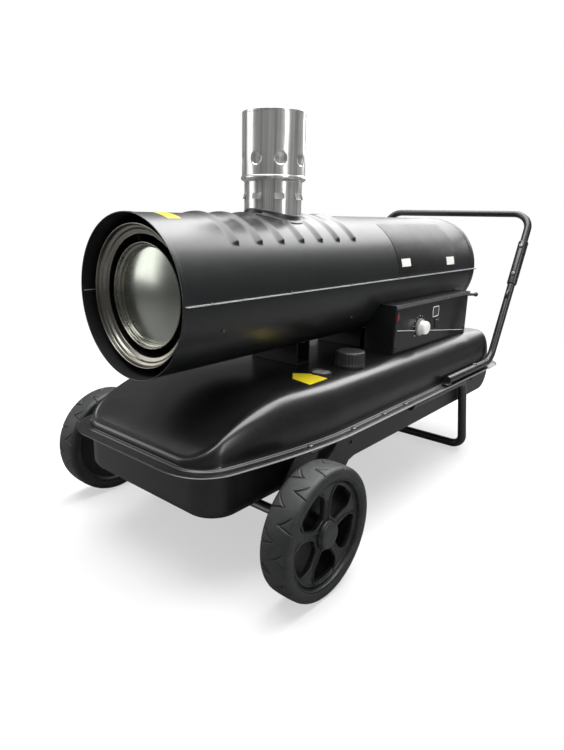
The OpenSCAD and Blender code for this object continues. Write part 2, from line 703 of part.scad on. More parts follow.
module filler_neck() color("silver") placed() translate([cap_x, cap_y, 0]) difference() {
    union() {
        translate([0, 0, tank_top]) cylinder(d = neck_d + 16, h = 2);
        translate([0, 0, tank_top - 12]) cylinder(d = neck_d - 9, h = 13);
        translate([0, 0, tank_top]) cylinder(d = neck_d, h = cap_h - 10);
    }
    translate([0, 0, tank_top - 40]) cylinder(d = neck_d - 13, h = 90);
}

// Knurled cap with a rounded top, hollow over the neck
module fuel_cap() color("#151515") placed() translate([cap_x, cap_y, tank_top + 2 + gap]) difference() {
    union() {
        rotate_extrude() polygon([[0, 0], [cap_d / 2 - 1, 0], [cap_d / 2 - 1, cap_h - 5],
            [cap_d / 2 - 4, cap_h - 1.5], [cap_d / 2 - 9, cap_h], [0, cap_h]]);
        for (a = [0 : 15 : 345]) rotate([0, 0, a]) translate([cap_d / 2 - 2, -1.5, 1])
            cube([2, 3, cap_h - 8]);
    }
    translate([0, 0, -1]) cylinder(d = neck_d + 4 * gap, h = cap_h - 10);
}

// Gauge housing with a stem into the tank
module fuel_gauge() color("ivory") placed() translate([gauge_x, gauge_y, tank_top]) difference() {
    union() {
        cylinder(d = gauge_d, h = 4);
        translate([0, 0, -14]) cylinder(d = gauge_d - 18, h = 15);
        translate([-4, -4, -62]) cube([8, 3, 52]);
        translate([-4, 1, -62]) cube([8, 3, 52]);
    }
    translate([0, 0, 2.2]) cylinder(d = gauge_d - 6, h = 4);
    translate([0, 0, -30]) cylinder(d = 2.2, h = 40);
    translate([0, -10, -56]) rotate([-90, 0, 0]) cylinder(d = 3 + 2 * run_clear, h = 20);
}

module gauge_needle() color("red") placed() translate([gauge_x, gauge_y, tank_top]) {
    translate([0, 0, 2.5]) translate([-1, -4, 0]) cube([2, gauge_d / 2 - 2, 0.8]);
    translate([0, 0, -9.5]) cylinder(d = 2, h = 12.8);
}

float_len = 110;
float_z = -56;
module float_arm() color("orange") placed() translate([gauge_x, gauge_y, tank_top + float_z]) {
    rod(3, 12, -6, 0, 0);
    translate([-float_len, 0, 0]) rotate([0, 90, 0]) cylinder(d = 1.8, h = float_len - 1);
    translate([-float_len - 14, 0, -14]) cylinder(d = 40, h = 28);
}

module fuel_filter() color("lightgray") placed() translate([filter_x, filter_y, 0]) {
    translate([0, 0, tank_top]) cylinder(d = 30, h = 3);
    translate([0, 0, tank_top + 2]) cylinder(d = 9, h = 16);
    translate([0, 0, tank_top - sheet - 60]) cylinder(d = 6, h = 60 - gap);
}

// Bent sheet saddles that carry the cylinder on the tank
saddle_w = 140;
module saddles() color(paint) placed() for (y = saddle_ys) difference() {
    translate([-saddle_w / 2, y - 25, tank_top]) cube([saddle_w, 50, 70]);
    translate([-saddle_w / 2 - 5, y - 22, tank_top + 3]) cube([saddle_w + 10, 44, 80]);
    rod(shell_d + 2 * gap, shell_len, 0, 0, shell_z);
}

/* Side plates, axle and leg */

plate_x = 228;
side_t = 3;
plate_rear = foot_rear - 20;
plate_low = 163;
hub_r = 24;

module plate_shape() difference() {
    polygon(concat(
        [[axle_y - hub_r, axle_z]],
        [for (a = [195 : 15 : 270]) [axle_y + hub_r * cos(a), axle_z + hub_r * sin(a)]],
        [[axle_y + 140, axle_z - 18], [axle_y + 190, axle_z - 8], [axle_y + 224, axle_z + 14],
            [axle_y + 240, plate_low - 5], [axle_y + 262, plate_low]],
        [for (a = [270 : 15 : 360]) [plate_rear - 55 + 55 * cos(a), plate_low + 55 + 55 * sin(a)]],
        [[plate_rear, flange_z], [axle_y + 60, flange_z], [axle_y + 10, flange_z - 60]]));
    polygon([[axle_y + 130, flange_z + 1], [axle_y + 200, flange_z + 1], [axle_y + 188, flange_z - 32],
        [axle_y + 160, flange_z - 52], [axle_y + 118, flange_z - 70], [axle_y + 100, flange_z - 62],
        [axle_y + 122, flange_z - 34]]);
    translate([axle_y, axle_z]) circle(r = axle_r + 0.1);
    translate([axle_y + 244, flange_z - 41]) circle(d = 9);
    translate([foot_rear - 150, flange_z - 29]) circle(d = 11);
}

module side_plates() color(grey_paint) placed() for (side = [-1, 1]) {
    translate([side > 0 ? plate_x : -plate_x - side_t, 0, 0]) rotate([90, 0, 90])
        linear_extrude(side_t) plate_shape();
    for (span = [[axle_y + 62, 64], [axle_y + 202, 270]]) difference() {
        translate([side > 0 ? plate_x : -plate_x - 34, span[0], flange_z - side_t])
            cube([34, span[1], side_t]);
        for (y = flange_screw_ys) translate([side * screw_x(y), y, flange_z - side_t - 1])
            cylinder(d = 5.6, h = side_t + 2);
    }
}

wheel_x = track_in / 2;
axle_end = wheel_x + wheel_w - 8;

module axle() color("silver") placed() translate([-axle_end, axle_y, axle_z])
    rotate([0, 90, 0]) cylinder(r = axle_r, h = 2 * axle_end);

// Turns a profile of radius and width about the wheel's axis, outer face towards +X
module wheel_turned(points) rotate([0, 90, 0]) rotate_extrude($fn = 96) polygon(points);

tyre_r = wheel_d / 2;
rim_r = rim_d / 2;

module tyre() color("#2b2b2b") wheel_turned([
    [rim_r, 2], [rim_r + 4, 1], [tyre_r - 10, 0], [tyre_r - 5, 2], [tyre_r - 1.5, 7], [tyre_r, 14],
    [tyre_r, wheel_w - 14], [tyre_r - 1.5, wheel_w - 7], [tyre_r - 5, wheel_w - 2],
    [tyre_r - 10, wheel_w], [rim_r + 4, wheel_w - 1], [rim_r, wheel_w - 2]
    ]);

bore_r = axle_r + run_clear;
hub_len_x = wheel_w - 20;
window_r1 = 34;
window_r2 = rim_r - 16;

// One rounded window between two spokes
module spoke_window() let (half = 180 / spokes)
    polygon(concat(
        [for (i = [0 : 6]) let (a = -half + 9 + i * (2 * half - 18) / 6)
            [window_r2 * cos(a), window_r2 * sin(a)]],
        [for (i = [6 : -1 : 0]) let (a = -half + 20 + i * (2 * half - 40) / 6)
            [window_r1 * cos(a), window_r1 * sin(a)]]));

module rim() color("#333436") {
    wheel_turned([[rim_r - 8, 4], [rim_r, 2.5], [rim_r, wheel_w - 2.5], [rim_r - 8, wheel_w - 4]]);
    rotate([90, 0, 90]) {
        difference() {
            translate([0, 0, 14]) cylinder(r = rim_r - 7, h = 3);
            translate([0, 0, 13]) cylinder(r = bore_r, h = 5);
        }
        difference() {
            translate([0, 0, wheel_w - 26]) cylinder(r = rim_r - 7, h = 12);
            for (k = [0 : spokes - 1]) rotate([0, 0, 90 + (k + 0.5) * 360 / spokes])
                translate([0, 0, wheel_w - 30]) linear_extrude(20) spoke_window();
            translate([0, 0, -1]) cylinder(r = bore_r, h = wheel_w);
        }
        for (k = [0 : spokes - 1]) rotate([0, 0, 90 + k * 360 / spokes])
            for (side = [-1, 1]) translate([26, side * 8 - 2, wheel_w - 15]) cube([rim_r - 36, 4, 5]);
        difference() {
            translate([0, 0, 7]) cylinder(r = 27, h = hub_len_x);
            translate([0, 0, 6]) cylinder(r = bore_r, h = wheel_w);
        }
        difference() {
            translate([0, 0, 7 + hub_len_x - 2]) cylinder(r = 27, h = wheel_w - hub_len_x - 9);
            translate([0, 0, 7 + hub_len_x - 3]) cylinder(r = cap_fit_r, h = wheel_w);
        }
    }
}

module on_wheel(side) placed() translate([0, axle_y, axle_z]) mirror([side > 0 ? 0 : 1, 0, 0])
    translate([wheel_x, 0, 0]) children();

module tyre_left() on_wheel(-1) tyre();
module tyre_right() on_wheel(1) tyre();
module rim_left() on_wheel(-1) rim();
module rim_right() on_wheel(1) rim();

cap_fit_r = 22;

// Cap that closes the hub: a short skirt in the hub and a rounded top
module hub_cap() color("#26272a") rotate([0, 90, 0]) difference() {
    union() {
        translate([0, 0, 7 + hub_len_x + 4]) cylinder(r = cap_fit_r - 0.1, h = 8);
        translate([0, 0, wheel_w - 4]) rotate_extrude() polygon([[0, 0], [25.5, 0], [25.5, 1.5],
            [23, 3.4], [16, 4], [0, 4]]);
    }
    translate([0, 0, 7 + hub_len_x + 3]) cylinder(r = cap_fit_r - 2, h = 6);
}
module hub_cap_left() on_wheel(-1) hub_cap();
module hub_cap_right() on_wheel(1) hub_cap();

// Washers inside and outside each wheel, the outer one held by a clip
module axle_washers() color("silver") placed() for (side = [-1, 1]) translate([0, axle_y, axle_z])
    mirror([side > 0 ? 0 : 1, 0, 0]) rotate([0, 90, 0]) {
        washer(plate_x + side_t, wheel_x + 7 - gap);
        washer(wheel_x + 7 + hub_len_x + gap, wheel_x + 7 + hub_len_x + 2);
    }

module washer(from, to) difference() {
    translate([0, 0, from]) cylinder(r = axle_r + 6, h = to - from);
    translate([0, 0, from - 1]) cylinder(r = axle_r + 0.05, h = to - from + 2);
}

leg_bend = 34;
leg_front = 640;
leg_run_z = flange_z - leg_r - 0.1;
leg_turn = 90 - leg_lean;
leg_up = (leg_run_z - leg_r - leg_bend * (1 - cos(leg_turn))) / cos(leg_lean) - leg_bend;
leg_run = leg_y - leg_front - leg_bend * sin(leg_turn) - (leg_up + leg_bend) * sin(leg_lean);

// One bent tube: ends that run under the flange, two leaning uprights and the ground bar
module rear_leg() color(paint) placed() translate([leg_x, leg_front, leg_run_z])
    rotate([-90, 0, 0]) bent_rod(leg_r, [[leg_run, leg_turn, leg_bend, 90], [leg_up, 90, leg_bend, 90],
        [2 * (leg_x - leg_bend), 90, leg_bend, 0], [leg_up, leg_turn, leg_bend, -90], [leg_run, 0, 0, 0]]);

/* Handle */

sleeve_low = 252;
sleeve_high = 392;
joint = (sleeve_low + sleeve_high) / 2;
bolt_zs = [sleeve_low + 30, sleeve_high - 18];
grip_turn = 90 - grip_lean;
bend_run = grip_r * tan(grip_turn / 2);

// Frame whose +Z runs up the leaning riser, with its zero where riser and lower tube would meet
module on_riser(x) translate([x, grip_bend_y, grip_z]) rotate([-grip_lean, 0, 0]) children();

module handle_lower(side) color(paint) placed() {
    translate([side * grip_x, grip_bend_y - bend_run, grip_z + grip_r]) rotate([0, 90, 0]) {
        rotate_extrude(angle = grip_turn) translate([grip_r, 0]) circle(r = grip_r0);
        translate([grip_r, 0, 0]) rotate([90, 0, 0]) {
            cylinder(r = grip_r0, h = grip_bend_y - grip_front - bend_run);
            translate([0, 0, -1]) cylinder(r = grip_r0 * 0.8, h = 2);
        }
        rotate([0, 0, grip_turn]) translate([grip_r, 0, 0]) rotate([-90, 0, 0]) {
            cylinder(r = grip_r0, h = joint - 1 - bend_run);
            translate([0, 0, -1]) cylinder(r = grip_r0 * 0.8, h = 2);
        }
    }
    translate([side * (grip_x + 4.2) - 7, grip_front - 22, hood_z]) cube([14, 30, 7]);
}
module handle_lower_left() handle_lower(-1);
module handle_lower_right() handle_lower(1);

grip_up = grip_rise / cos(grip_lean);
grip_straight = grip_up - grip_r - joint - 1;
module handle_upper() color(paint) placed() on_riser(grip_x) translate([0, 0, joint + 1])
    bent_rod(grip_r0, [[grip_straight, 90, grip_r, 180], [2 * (grip_x - grip_r), 90, grip_r, 0],
        [grip_straight, 0, 0, 0]]);

module handle_sleeves() color(paint) placed() for (side = [-1, 1]) on_riser(side * grip_x) difference() {
    translate([0, 0, sleeve_low]) cylinder(r = grip_r0 + 3.5, h = sleeve_high - sleeve_low);
    translate([0, 0, sleeve_low - 1]) cylinder(r = grip_r0 + 0.1, h = sleeve_high - sleeve_low + 2);
    for (z = bolt_zs) translate([0, -30, z]) rotate([-90, 0, 0]) cylinder(d = 7, h = 60);
}

module handle_bolts() color("silver") placed() for (side = [-1, 1]) {
    on_riser(side * grip_x) for (z = bolt_zs, end = [0, 180]) rotate([0, 0, end])
        translate([0, -grip_r0 - 3.6, z]) rotate([90, 0, 0]) cylinder(d = 13, h = 4);
    translate([side * (grip_x + 4.2), grip_front - 12, hood_z + 7]) cylinder(d = 11, h = 4);
    translate([side * grip_x, grip_front + 186, grip_z + grip_r0 + 0.05]) cylinder(d = 11, h = 4);
}

/* Control box */

box_low = tank_top;
box_in_x = 96;
panel_t = 1.5;
knob_y = box_y + 133;
knob_z = box_low + 56;
switch_y = box_y + 240;
switch_z = box_low + 52;
window_y = box_y + 227;
window_z = box_low + 87;

// Folded box that closes the corner between tank and cylinder, open to the inside
module control_box() color(paint) placed() difference() {
    union() {
        translate([box_in_x, box_y, box_low]) cube([box_x - box_in_x, box_len, box_top - box_low]);
        translate([box_in_x, box_y - 2, box_top - sheet]) cube([box_x - box_in_x + 6, box_len + 4, sheet]);
    }
    translate([box_in_x - 1, box_y + sheet, box_low + sheet])
        cube([box_x - box_in_x + 1 - sheet, box_len - 2 * sheet, box_top - box_low - 2 * sheet]);
    rod(shell_d + 2 * gap + 0.4, shell_len + 2, -1, 0, shell_z);
    translate([box_in_x - 1, box_y - 5, shell_z - sheet - 1]) cube([100, box_len + 10, 40]);
    control_cuts();
    translate([gland_x, box_y + box_len - 5, gland_z]) rotate([-90, 0, 0]) cylinder(d = 16 + 0.2, h = 10);
}

// Holes through box and panel for the knob's shaft, the switch and the window
module control_cuts() {
    translate([box_x - 10, knob_y, knob_z]) rotate([0, 90, 0]) cylinder(d = 8 + 2 * run_clear, h = 20);
    translate([box_x - 10, switch_y - 12, switch_z - 11]) cube([20, 24, 22]);
    translate([box_x - 10, window_y - 16, window_z - 12]) cube([20, 32, 24]);
}

module control_panel() color("#0c0c0e") placed() difference() {
    translate([box_x, box_y + 4, box_low + 2]) cube([panel_t, box_len - 8, box_top - box_low - 8]);
    control_cuts();
}

module temperature_knob() color("whitesmoke") placed() translate([box_x + panel_t + gap, knob_y, knob_z])
    rotate([0, 90, 0]) {
        rotate_extrude() polygon([[0, 0], [knob_d / 2, 0], [knob_d / 2, 5], [knob_d / 2 - 4, 6.5],
            [knob_d / 2 - 6, knob_h - 2], [knob_d / 2 - 8, knob_h], [0, knob_h]]);
        translate([0, 0, -16]) cylinder(d = 8, h = 17);
        translate([-knob_d / 2 + 9, -1.5, knob_h - 0.5]) cube([12, 3, 1.2]);
    }

module rocker_switch() color("#101010") placed() translate([box_x - 3, switch_y + 11.7, switch_z])
    rotate([90, 0, 0]) {
        linear_extrude(23.4) polygon([[-6, -7], [1, -10], [8.5, -9.5], [6, 0], [8.5, 9.5], [1, 10], [-6, 7]]);
        translate([0, 0, -0.2]) cylinder(d = 4, h = 23.8);
    }

module display_window() color("#20282c") placed()
    translate([box_x - 4, window_y - 16 + 0.1, window_z - 12 + 0.1]) cube([panel_t + 5, 31.8, 23.8]);

box_deep = box_x - box_in_x;
box_high = box_top - box_low;
board_y = box_y + box_len * 0.4;
board_len = box_len * 0.29;

// Ignition transformer on the box floor and the control board beside it
module control_board() color("darkgreen") placed() {
    translate([box_in_x + 14, box_y + box_len * 0.09, box_low + sheet])
        cube([box_deep * 0.67, box_len * 0.16, box_high * 0.36]);
    translate([box_in_x + 14, board_y, box_low + sheet + 8]) cube([box_deep * 0.61, board_len, 1.6]);
    for (share = [0.06, 0.91])
        translate([box_in_x + box_deep / 2, board_y + board_len * share, box_low + sheet])
        cylinder(d = 8, h = 8.5);
    for (share = [0.23, 0.46, 0.69])
        translate([box_in_x + 30, board_y + board_len * share, box_low + sheet + 9])
        cylinder(d = 16, h = 22);
}

gland_x = box_x - 26;
gland_z = box_low + 30;
module cable_gland() color("#1a1a1a") placed()
    translate([gland_x, box_y + box_len, gland_z]) rotate([-90, 0, 0])
    difference() {
        union() {
            cylinder(d = 26, h = 8, $fn = 6);
            translate([0, 0, -6]) cylinder(d = 16, h = 8);
            translate([0, 0, 7]) cylinder(d1 = 22, d2 = 16, h = 14);
        }
        translate([0, 0, -10]) cylinder(d = 9, h = 50);
    }

// Rod with a round end that dips a little towards the rear
hook_len = 90;
hook_drop = 5;
module cord_hook() color(paint) placed() translate([box_x - 12, box_y + box_len, box_top - 14]) {
    translate([-9, 0, -8]) cube([18, 2, 16]);
    translate([0, 1, 2]) rotate([-90 - hook_drop, 0, 0]) cylinder(d = 9, h = hook_len);
    translate([0, 1 + hook_len * cos(hook_drop), 2 - hook_len * sin(hook_drop)]) sphere(r = 7);
}

label_low = 3;
label_high = 62;
label_len = 345;
label_y = shell_len - 136 - label_len;
module label_panel() color("#0a0a0b") placed() louvre_sector([
    [shell_r + 0.05, label_y], [shell_r + 0.8, label_y],
    [shell_r + 0.8, label_y + label_len], [shell_r + 0.05, label_y + label_len]],
    max(label_low, asin(2.4 / shell_r) + 1), label_high - label_low);

module warning_patches() color("gold") placed() {
    louvre_sector([[shell_r + 0.05, 48], [shell_r + 0.5, 48],
        [shell_r + 0.5, 88], [shell_r + 0.05, 88]], 67, 26);
    translate([gauge_x + 2, gauge_y - 58, tank_top + 0.05]) rotate([0, 0, 10])
        translate([-29, -24, 0]) cube([52, 48, 0.4]);
}

upper_shell();
louvres();
lower_shell();
body_screws();
outlet_ring();
exchanger_jacket();
jacket_brackets();
combustion_drum();
drum_end();
drum_supports();
flue_lower();
flue_upper();
flue_collar();
flame_tube();
burner_plate();
nozzle();
electrodes();
photocell();
motor();
motor_bracket();
fan_rotor();
motor_shaft();
fuel_pump();
rear_guard();
fuel_lines();
tank_hood();
tank_pan();
filler_neck();
fuel_cap();
fuel_gauge();
gauge_needle();
float_arm();
drain_plug();
fuel_filter();
saddles();
side_plates();
axle();
tyre_left();
tyre_right();
rim_left();
rim_right();
hub_cap_left();
hub_cap_right();
axle_washers();
rear_leg();
handle_lower_left();
handle_lower_right();
handle_upper();
handle_sleeves();
handle_bolts();
control_box();
control_panel();
temperature_knob();
rocker_switch();
display_window();
control_board();
cable_gland();
cord_hook();
label_panel();
warning_patches();
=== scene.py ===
import json
import math

import bpy
import numpy as np
from mathutils import Matrix, Vector


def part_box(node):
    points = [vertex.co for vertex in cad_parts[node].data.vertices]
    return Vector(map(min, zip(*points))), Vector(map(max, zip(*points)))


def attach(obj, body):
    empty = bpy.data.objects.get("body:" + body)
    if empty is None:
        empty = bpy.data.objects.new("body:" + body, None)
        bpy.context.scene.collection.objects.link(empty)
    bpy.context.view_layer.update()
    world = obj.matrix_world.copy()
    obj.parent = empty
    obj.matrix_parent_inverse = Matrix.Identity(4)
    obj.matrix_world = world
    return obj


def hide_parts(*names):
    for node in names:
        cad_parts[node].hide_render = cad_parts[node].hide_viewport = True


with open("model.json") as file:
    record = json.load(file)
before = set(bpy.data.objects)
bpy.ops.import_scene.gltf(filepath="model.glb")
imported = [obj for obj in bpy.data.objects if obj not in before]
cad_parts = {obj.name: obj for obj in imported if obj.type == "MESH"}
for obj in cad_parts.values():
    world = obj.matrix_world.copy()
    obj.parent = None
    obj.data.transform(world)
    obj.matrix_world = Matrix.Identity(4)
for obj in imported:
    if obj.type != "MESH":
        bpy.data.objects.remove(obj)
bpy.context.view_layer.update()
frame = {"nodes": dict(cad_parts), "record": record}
cadNodes = frame["nodes"]

# Places below are in millimetres: x across, y from the cylinder's front edge, z over the floor
frontY = min(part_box("lower_shell")[0][1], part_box("lower_shell")[1][1])
baseBody = "base"
hands = ((-1, "left"), (1, "right"))  # sign of x and the word in the names
print("frame loaded, front edge at", round(frontY, 4))


# From the millimetres above to the frame's metres
def toFrame(points):
    return np.asarray(points, float) * 0.001 + np.array([0.0, frontY, 0.0])


# Camera: where the photograph was taken from, with its roll and its off-centre crop
camera = {
    "place": (846.6, -593.9, 670.2),
    "azimuth": 41.03,
    "elevation": 15.54,
    "roll": 1.05,
    "lens": 27.17,
    "sensor": 36,
    "shift": (0.02124, -0.00095),
    "clip": (0.05, 60),
}


# Looks back along azimuth and elevation, then turns about that line by the roll
def makeCamera(values):
    az, el, roll = (math.radians(values[k]) for k in ("azimuth", "elevation", "roll"))
    back = Vector((math.sin(az) * math.cos(el), -math.cos(az) * math.cos(el), math.sin(el)))
    right = Vector((math.cos(az), math.sin(az), 0))
    up = back.cross(right)
    turnedRight = math.cos(roll) * right + math.sin(roll) * up
    turnedUp = -math.sin(roll) * right + math.cos(roll) * up
    data = bpy.data.cameras.new("camera")
    data.lens = values["lens"]
    data.sensor_width = values["sensor"]
    data.shift_x, data.shift_y = values["shift"]
    data.clip_start, data.clip_end = values["clip"]
    obj = bpy.data.objects.new("camera", data)
    turn = Matrix((turnedRight, turnedUp, back)).transposed()
    obj.matrix_world = Matrix.Translation(Vector(toFrame(values["place"]))) @ turn.to_4x4()
    bpy.context.scene.collection.objects.link(obj)
    bpy.context.scene.camera = obj


makeCamera(camera)


# Node tree of a material or of the world; an input takes a value or another node's output
class Nodes:
    def __init__(self, owner):
        owner.use_nodes = True
        self.tree = owner.node_tree
        self.tree.nodes.clear()

    def link(self, a, b):
        self.tree.links.new(a, b)

    def put(self, socket, value):
        if hasattr(value, "is_output"):
            self.link(value, socket)
        else:
            socket.default_value = value

    def node(self, kind, inputs=None, **settings):
        made = self.tree.nodes.new("ShaderNode" + kind)
        for key, value in settings.items():
            setattr(made, key, value)
        for key, value in (inputs or {}).items():
            self.put(made.inputs[key], value)
        return made


# Material with one principled shader and the few patterns that all finishes share
class Finish(Nodes):
    def __init__(self, name):
        self.mat = bpy.data.materials.new(name)
        super().__init__(self.mat)
        self.out = self.node("OutputMaterial")
        self.shader = self.node("BsdfPrincipled")
        self.link(self.shader.outputs[0], self.out.inputs[0])

    def set(self, **inputs):
        names = {
            "color": "Base Color", "metallic": "Metallic", "roughness": "Roughness", "coat": "Coat Weight",
            "coatRoughness": "Coat Roughness", "specular": "Specular IOR Level", "normal": "Normal",
        }
        for key, value in inputs.items():
            self.put(self.shader.inputs[names[key]], value)

    def place(self, scale=(1, 1, 1)):
        coord = self.node("TexCoord")
        return self.node("Mapping", {"Vector": coord.outputs["Object"], "Scale": scale}).outputs[0]

    def noise(self, vector, scale, detail=3.0, rough=0.5, distortion=0.0):
        inputs = {"Vector": vector, "Scale": scale, "Detail": detail, "Roughness": rough, "Distortion": distortion}
        return self.node("TexNoise", inputs).outputs["Fac"]

    # Maps fromLow..fromHigh of a value to low..high
    def spread(self, value, low, high, fromLow=0.0, fromHigh=1.0, smooth=False):
        inputs = {"Value": value, "From Min": fromLow, "From Max": fromHigh, "To Min": low, "To Max": high}
        return self.node("MapRange", inputs, interpolation_type="SMOOTHSTEP" if smooth else "LINEAR").outputs[0]

    def mix(self, factor, a, b):
        made = self.node("Mix", data_type="RGBA")
        self.put(made.inputs[0], factor)
        for socket, value in ((made.inputs[6], a), (made.inputs[7], b)):
            self.put(socket, (*value, 1) if isinstance(value, tuple) else value)
        return made.outputs[2]

    def math(self, operation, a, b):
        return self.node("Math", {0: a, 1: b}, operation=operation).outputs[0]

    def bump(self, height, strength, distance, normal=None):
        inputs = {"Height": height, "Strength": strength, "Distance": distance}
        if normal is not None:
            inputs["Normal"] = normal
        return self.node("Bump", inputs).outputs[0]

    # 1 on edges, 0 on flat faces: how far a bevelled normal leans away from the real one
    def edge(self, width):
        bevel = self.node("Bevel", {"Radius": width}, samples=4)
        geometry = self.node("NewGeometry")
        normals = {0: bevel.outputs[0], 1: geometry.outputs["Normal"]}
        dot = self.node("VectorMath", normals, operation="DOT_PRODUCT")
        return self.spread(dot.outputs["Value"], 1, 0, 0.75, 0.99)


# A colour made darker or lighter, each channel held below 1
def shade(color, factor, lift=0.0):
    return tuple(min(1, c * factor + lift) for c in color)


# Black and grey paints: powder coat with fine orange peel, faint dust and slightly worn edges; the light grey seam
# and brow paints are painted highlights, the near-black inside paint is painted shade
paints = {
    "blackPaint": {"color": (0.0055, 0.0062, 0.0068), "roughness": 0.38, "peel": 0.05, "dust": 0.02, "coat": 0.2},
    "hoodPaint": {"color": (0.006, 0.006, 0.0068), "roughness": 0.28, "peel": 0.05, "dust": 0.02, "coat": 0.4},
    "greyPaint": {"color": (0.0068, 0.0072, 0.0074), "roughness": 0.42, "peel": 0.06, "dust": 0.03, "coat": 0.1},
    "tubePaint": {"color": (0.010, 0.010, 0.011), "roughness": 0.3, "peel": 0.05, "dust": 0.03, "coat": 0.3},
    # Light grey for the upper seam lips: a painted highlight along the black shell's seam
    "seamPaint": {"color": (0.32, 0.33, 0.34), "roughness": 0.26, "peel": 0.03, "dust": 0.02, "coat": 0.3},
    # Mid grey for the control box's brow lip: a painted highlight along its top front edge
    "browPaint": {"color": (0.07, 0.072, 0.075), "roughness": 0.25, "peel": 0.03, "dust": 0.02, "coat": 0.3},
    # Near-black for the shell's inside, the saddles and the rear guard: painted shade, darker than the outer black
    # paint
    "innerPaint": {"color": (0.004, 0.004, 0.0045), "roughness": 0.6, "peel": 0.05, "dust": 0.02, "coat": 0.0},
}
paintWear = {"dust": (0.22, 0.21, 0.2), "worn": (0.16, 0.16, 0.165), "wear": 0.10, "coatRoughness": 0.22}


# Cloudy colour, dust in patches that is also rougher, pale edges, peel over slow waves
def makePaint(name, values):
    n = Finish(name)
    at = n.place()
    cloud = n.noise(at, 5, 4, 0.55)
    dust = n.spread(n.noise(at, 28, 5, 0.65), 0, values["dust"], 0.45, 0.8)
    tint = n.mix(cloud, shade(values["color"], 0.85), shade(values["color"], 1.2))
    tint = n.mix(dust, tint, paintWear["dust"])
    tint = n.mix(n.math("MULTIPLY", n.edge(0.0012), paintWear["wear"]), tint, paintWear["worn"])
    rough = n.spread(n.noise(at, 9, 5, 0.6), values["roughness"] - 0.04, values["roughness"] + 0.07)
    rough = n.math("ADD", rough, n.math("MULTIPLY", dust, 0.8))
    peel = n.noise(at, 620, 2, 0.5)
    slow = n.noise(at, 7, 2, 0.4)
    normal = n.bump(peel, values["peel"], 0.0006, n.bump(slow, 0.12, 0.004))
    n.set(color=tint, roughness=rough, coat=values["coat"], coatRoughness=paintWear["coatRoughness"],
          normal=normal, specular=0.5)
    return n.mat


# Stainless and other bare metals: fine lines along one direction, waves of thin sheet, brown stain; on the flue
# the lines also darken the colour in vertical streaks, a painted reflection
metals = {
    # On the flue, streaks darken the colour along the lines: a painted reflection
    "stainlessFlue": {"color": (0.78, 0.78, 0.76), "roughness": 0.2, "lines": (120, 120, 1.5), "wave": 0.35,
                      "stain": 0.0, "metal": 0.7, "streaks": 0.8},
    "stainlessRing": {"color": (0.30, 0.29, 0.255), "roughness": 0.28, "lines": (60, 400, 60), "wave": 0.12,
                      "stain": 0.3},
    "stainlessDrum": {"color": (0.32, 0.31, 0.275), "roughness": 0.26, "lines": (50, 300, 50), "wave": 0.15,
                      "stain": 0.5},
    "stainlessDisc": {"color": (0.42, 0.445, 0.4), "roughness": 0.2, "lines": (5, 5, 5), "wave": 0.03,
                      "stain": 0.04},
    "darkSteel": {"color": (0.15, 0.15, 0.152), "roughness": 0.36, "lines": (80, 80, 80), "wave": 0.05,
                  "stain": 0.1},
    "zincSteel": {"color": (0.5, 0.5, 0.49), "roughness": 0.32, "lines": (80, 80, 80), "wave": 0.05,
                  "stain": 0.15},
    "brassMetal": {"color": (0.72, 0.5, 0.2), "roughness": 0.28, "lines": (90, 90, 90), "wave": 0.05,
                   "stain": 0.2},
    "castMetal": {"color": (0.34, 0.345, 0.35), "roughness": 0.5, "lines": (40, 40, 40), "wave": 0.3,
                  "stain": 0.2},
    "fanMetal": {"color": (0.42, 0.43, 0.44), "roughness": 0.38, "lines": (60, 60, 60), "wave": 0.1,
                 "stain": 0.15},
}
metalWear = {"stain": (0.3, 0.24, 0.15), "worn": (0.85, 0.85, 0.84), "wear": 0.25}


# Lines steer roughness and, on the flue, dark vertical streaks in the colour that are a painted reflection; stain
# is a rough brown film in patches
def makeMetal(name, values):
    n = Finish(name)
    at = n.place()
    lines = n.noise(n.place(values["lines"]), 1, 4, 0.6)
    cloud = n.noise(at, 16, 4, 0.6)
    tint = n.mix(n.spread(cloud, 0, 0.5, 0.35, 0.75), values["color"], shade(values["color"], 0.72))
    if "streaks" in values:
        # Painted reflection: dark vertical streaks along the lines on the flue
        tint = n.mix(n.spread(lines, 0, values["streaks"], 0.35, 0.7), tint, shade(values["color"], 0.3))
    stain = n.spread(n.noise(at, 9, 6, 0.7, 0.6), 0, values["stain"], 0.5, 0.85)
    tint = n.mix(stain, tint, metalWear["stain"])
    tint = n.mix(n.math("MULTIPLY", n.edge(0.0015), metalWear["wear"]), tint, metalWear["worn"])
    rough = n.spread(lines, values["roughness"] - 0.06, values["roughness"] + 0.09)
    rough = n.math("ADD", rough, n.math("MULTIPLY", stain, 0.3))
    normal = n.bump(lines, 0.08, 0.0004, n.bump(n.noise(at, 14, 2, 0.4), values["wave"], 0.004))
    n.set(color=tint, metallic=values.get("metal", 1.0), roughness=rough, normal=normal)
    return n.mat


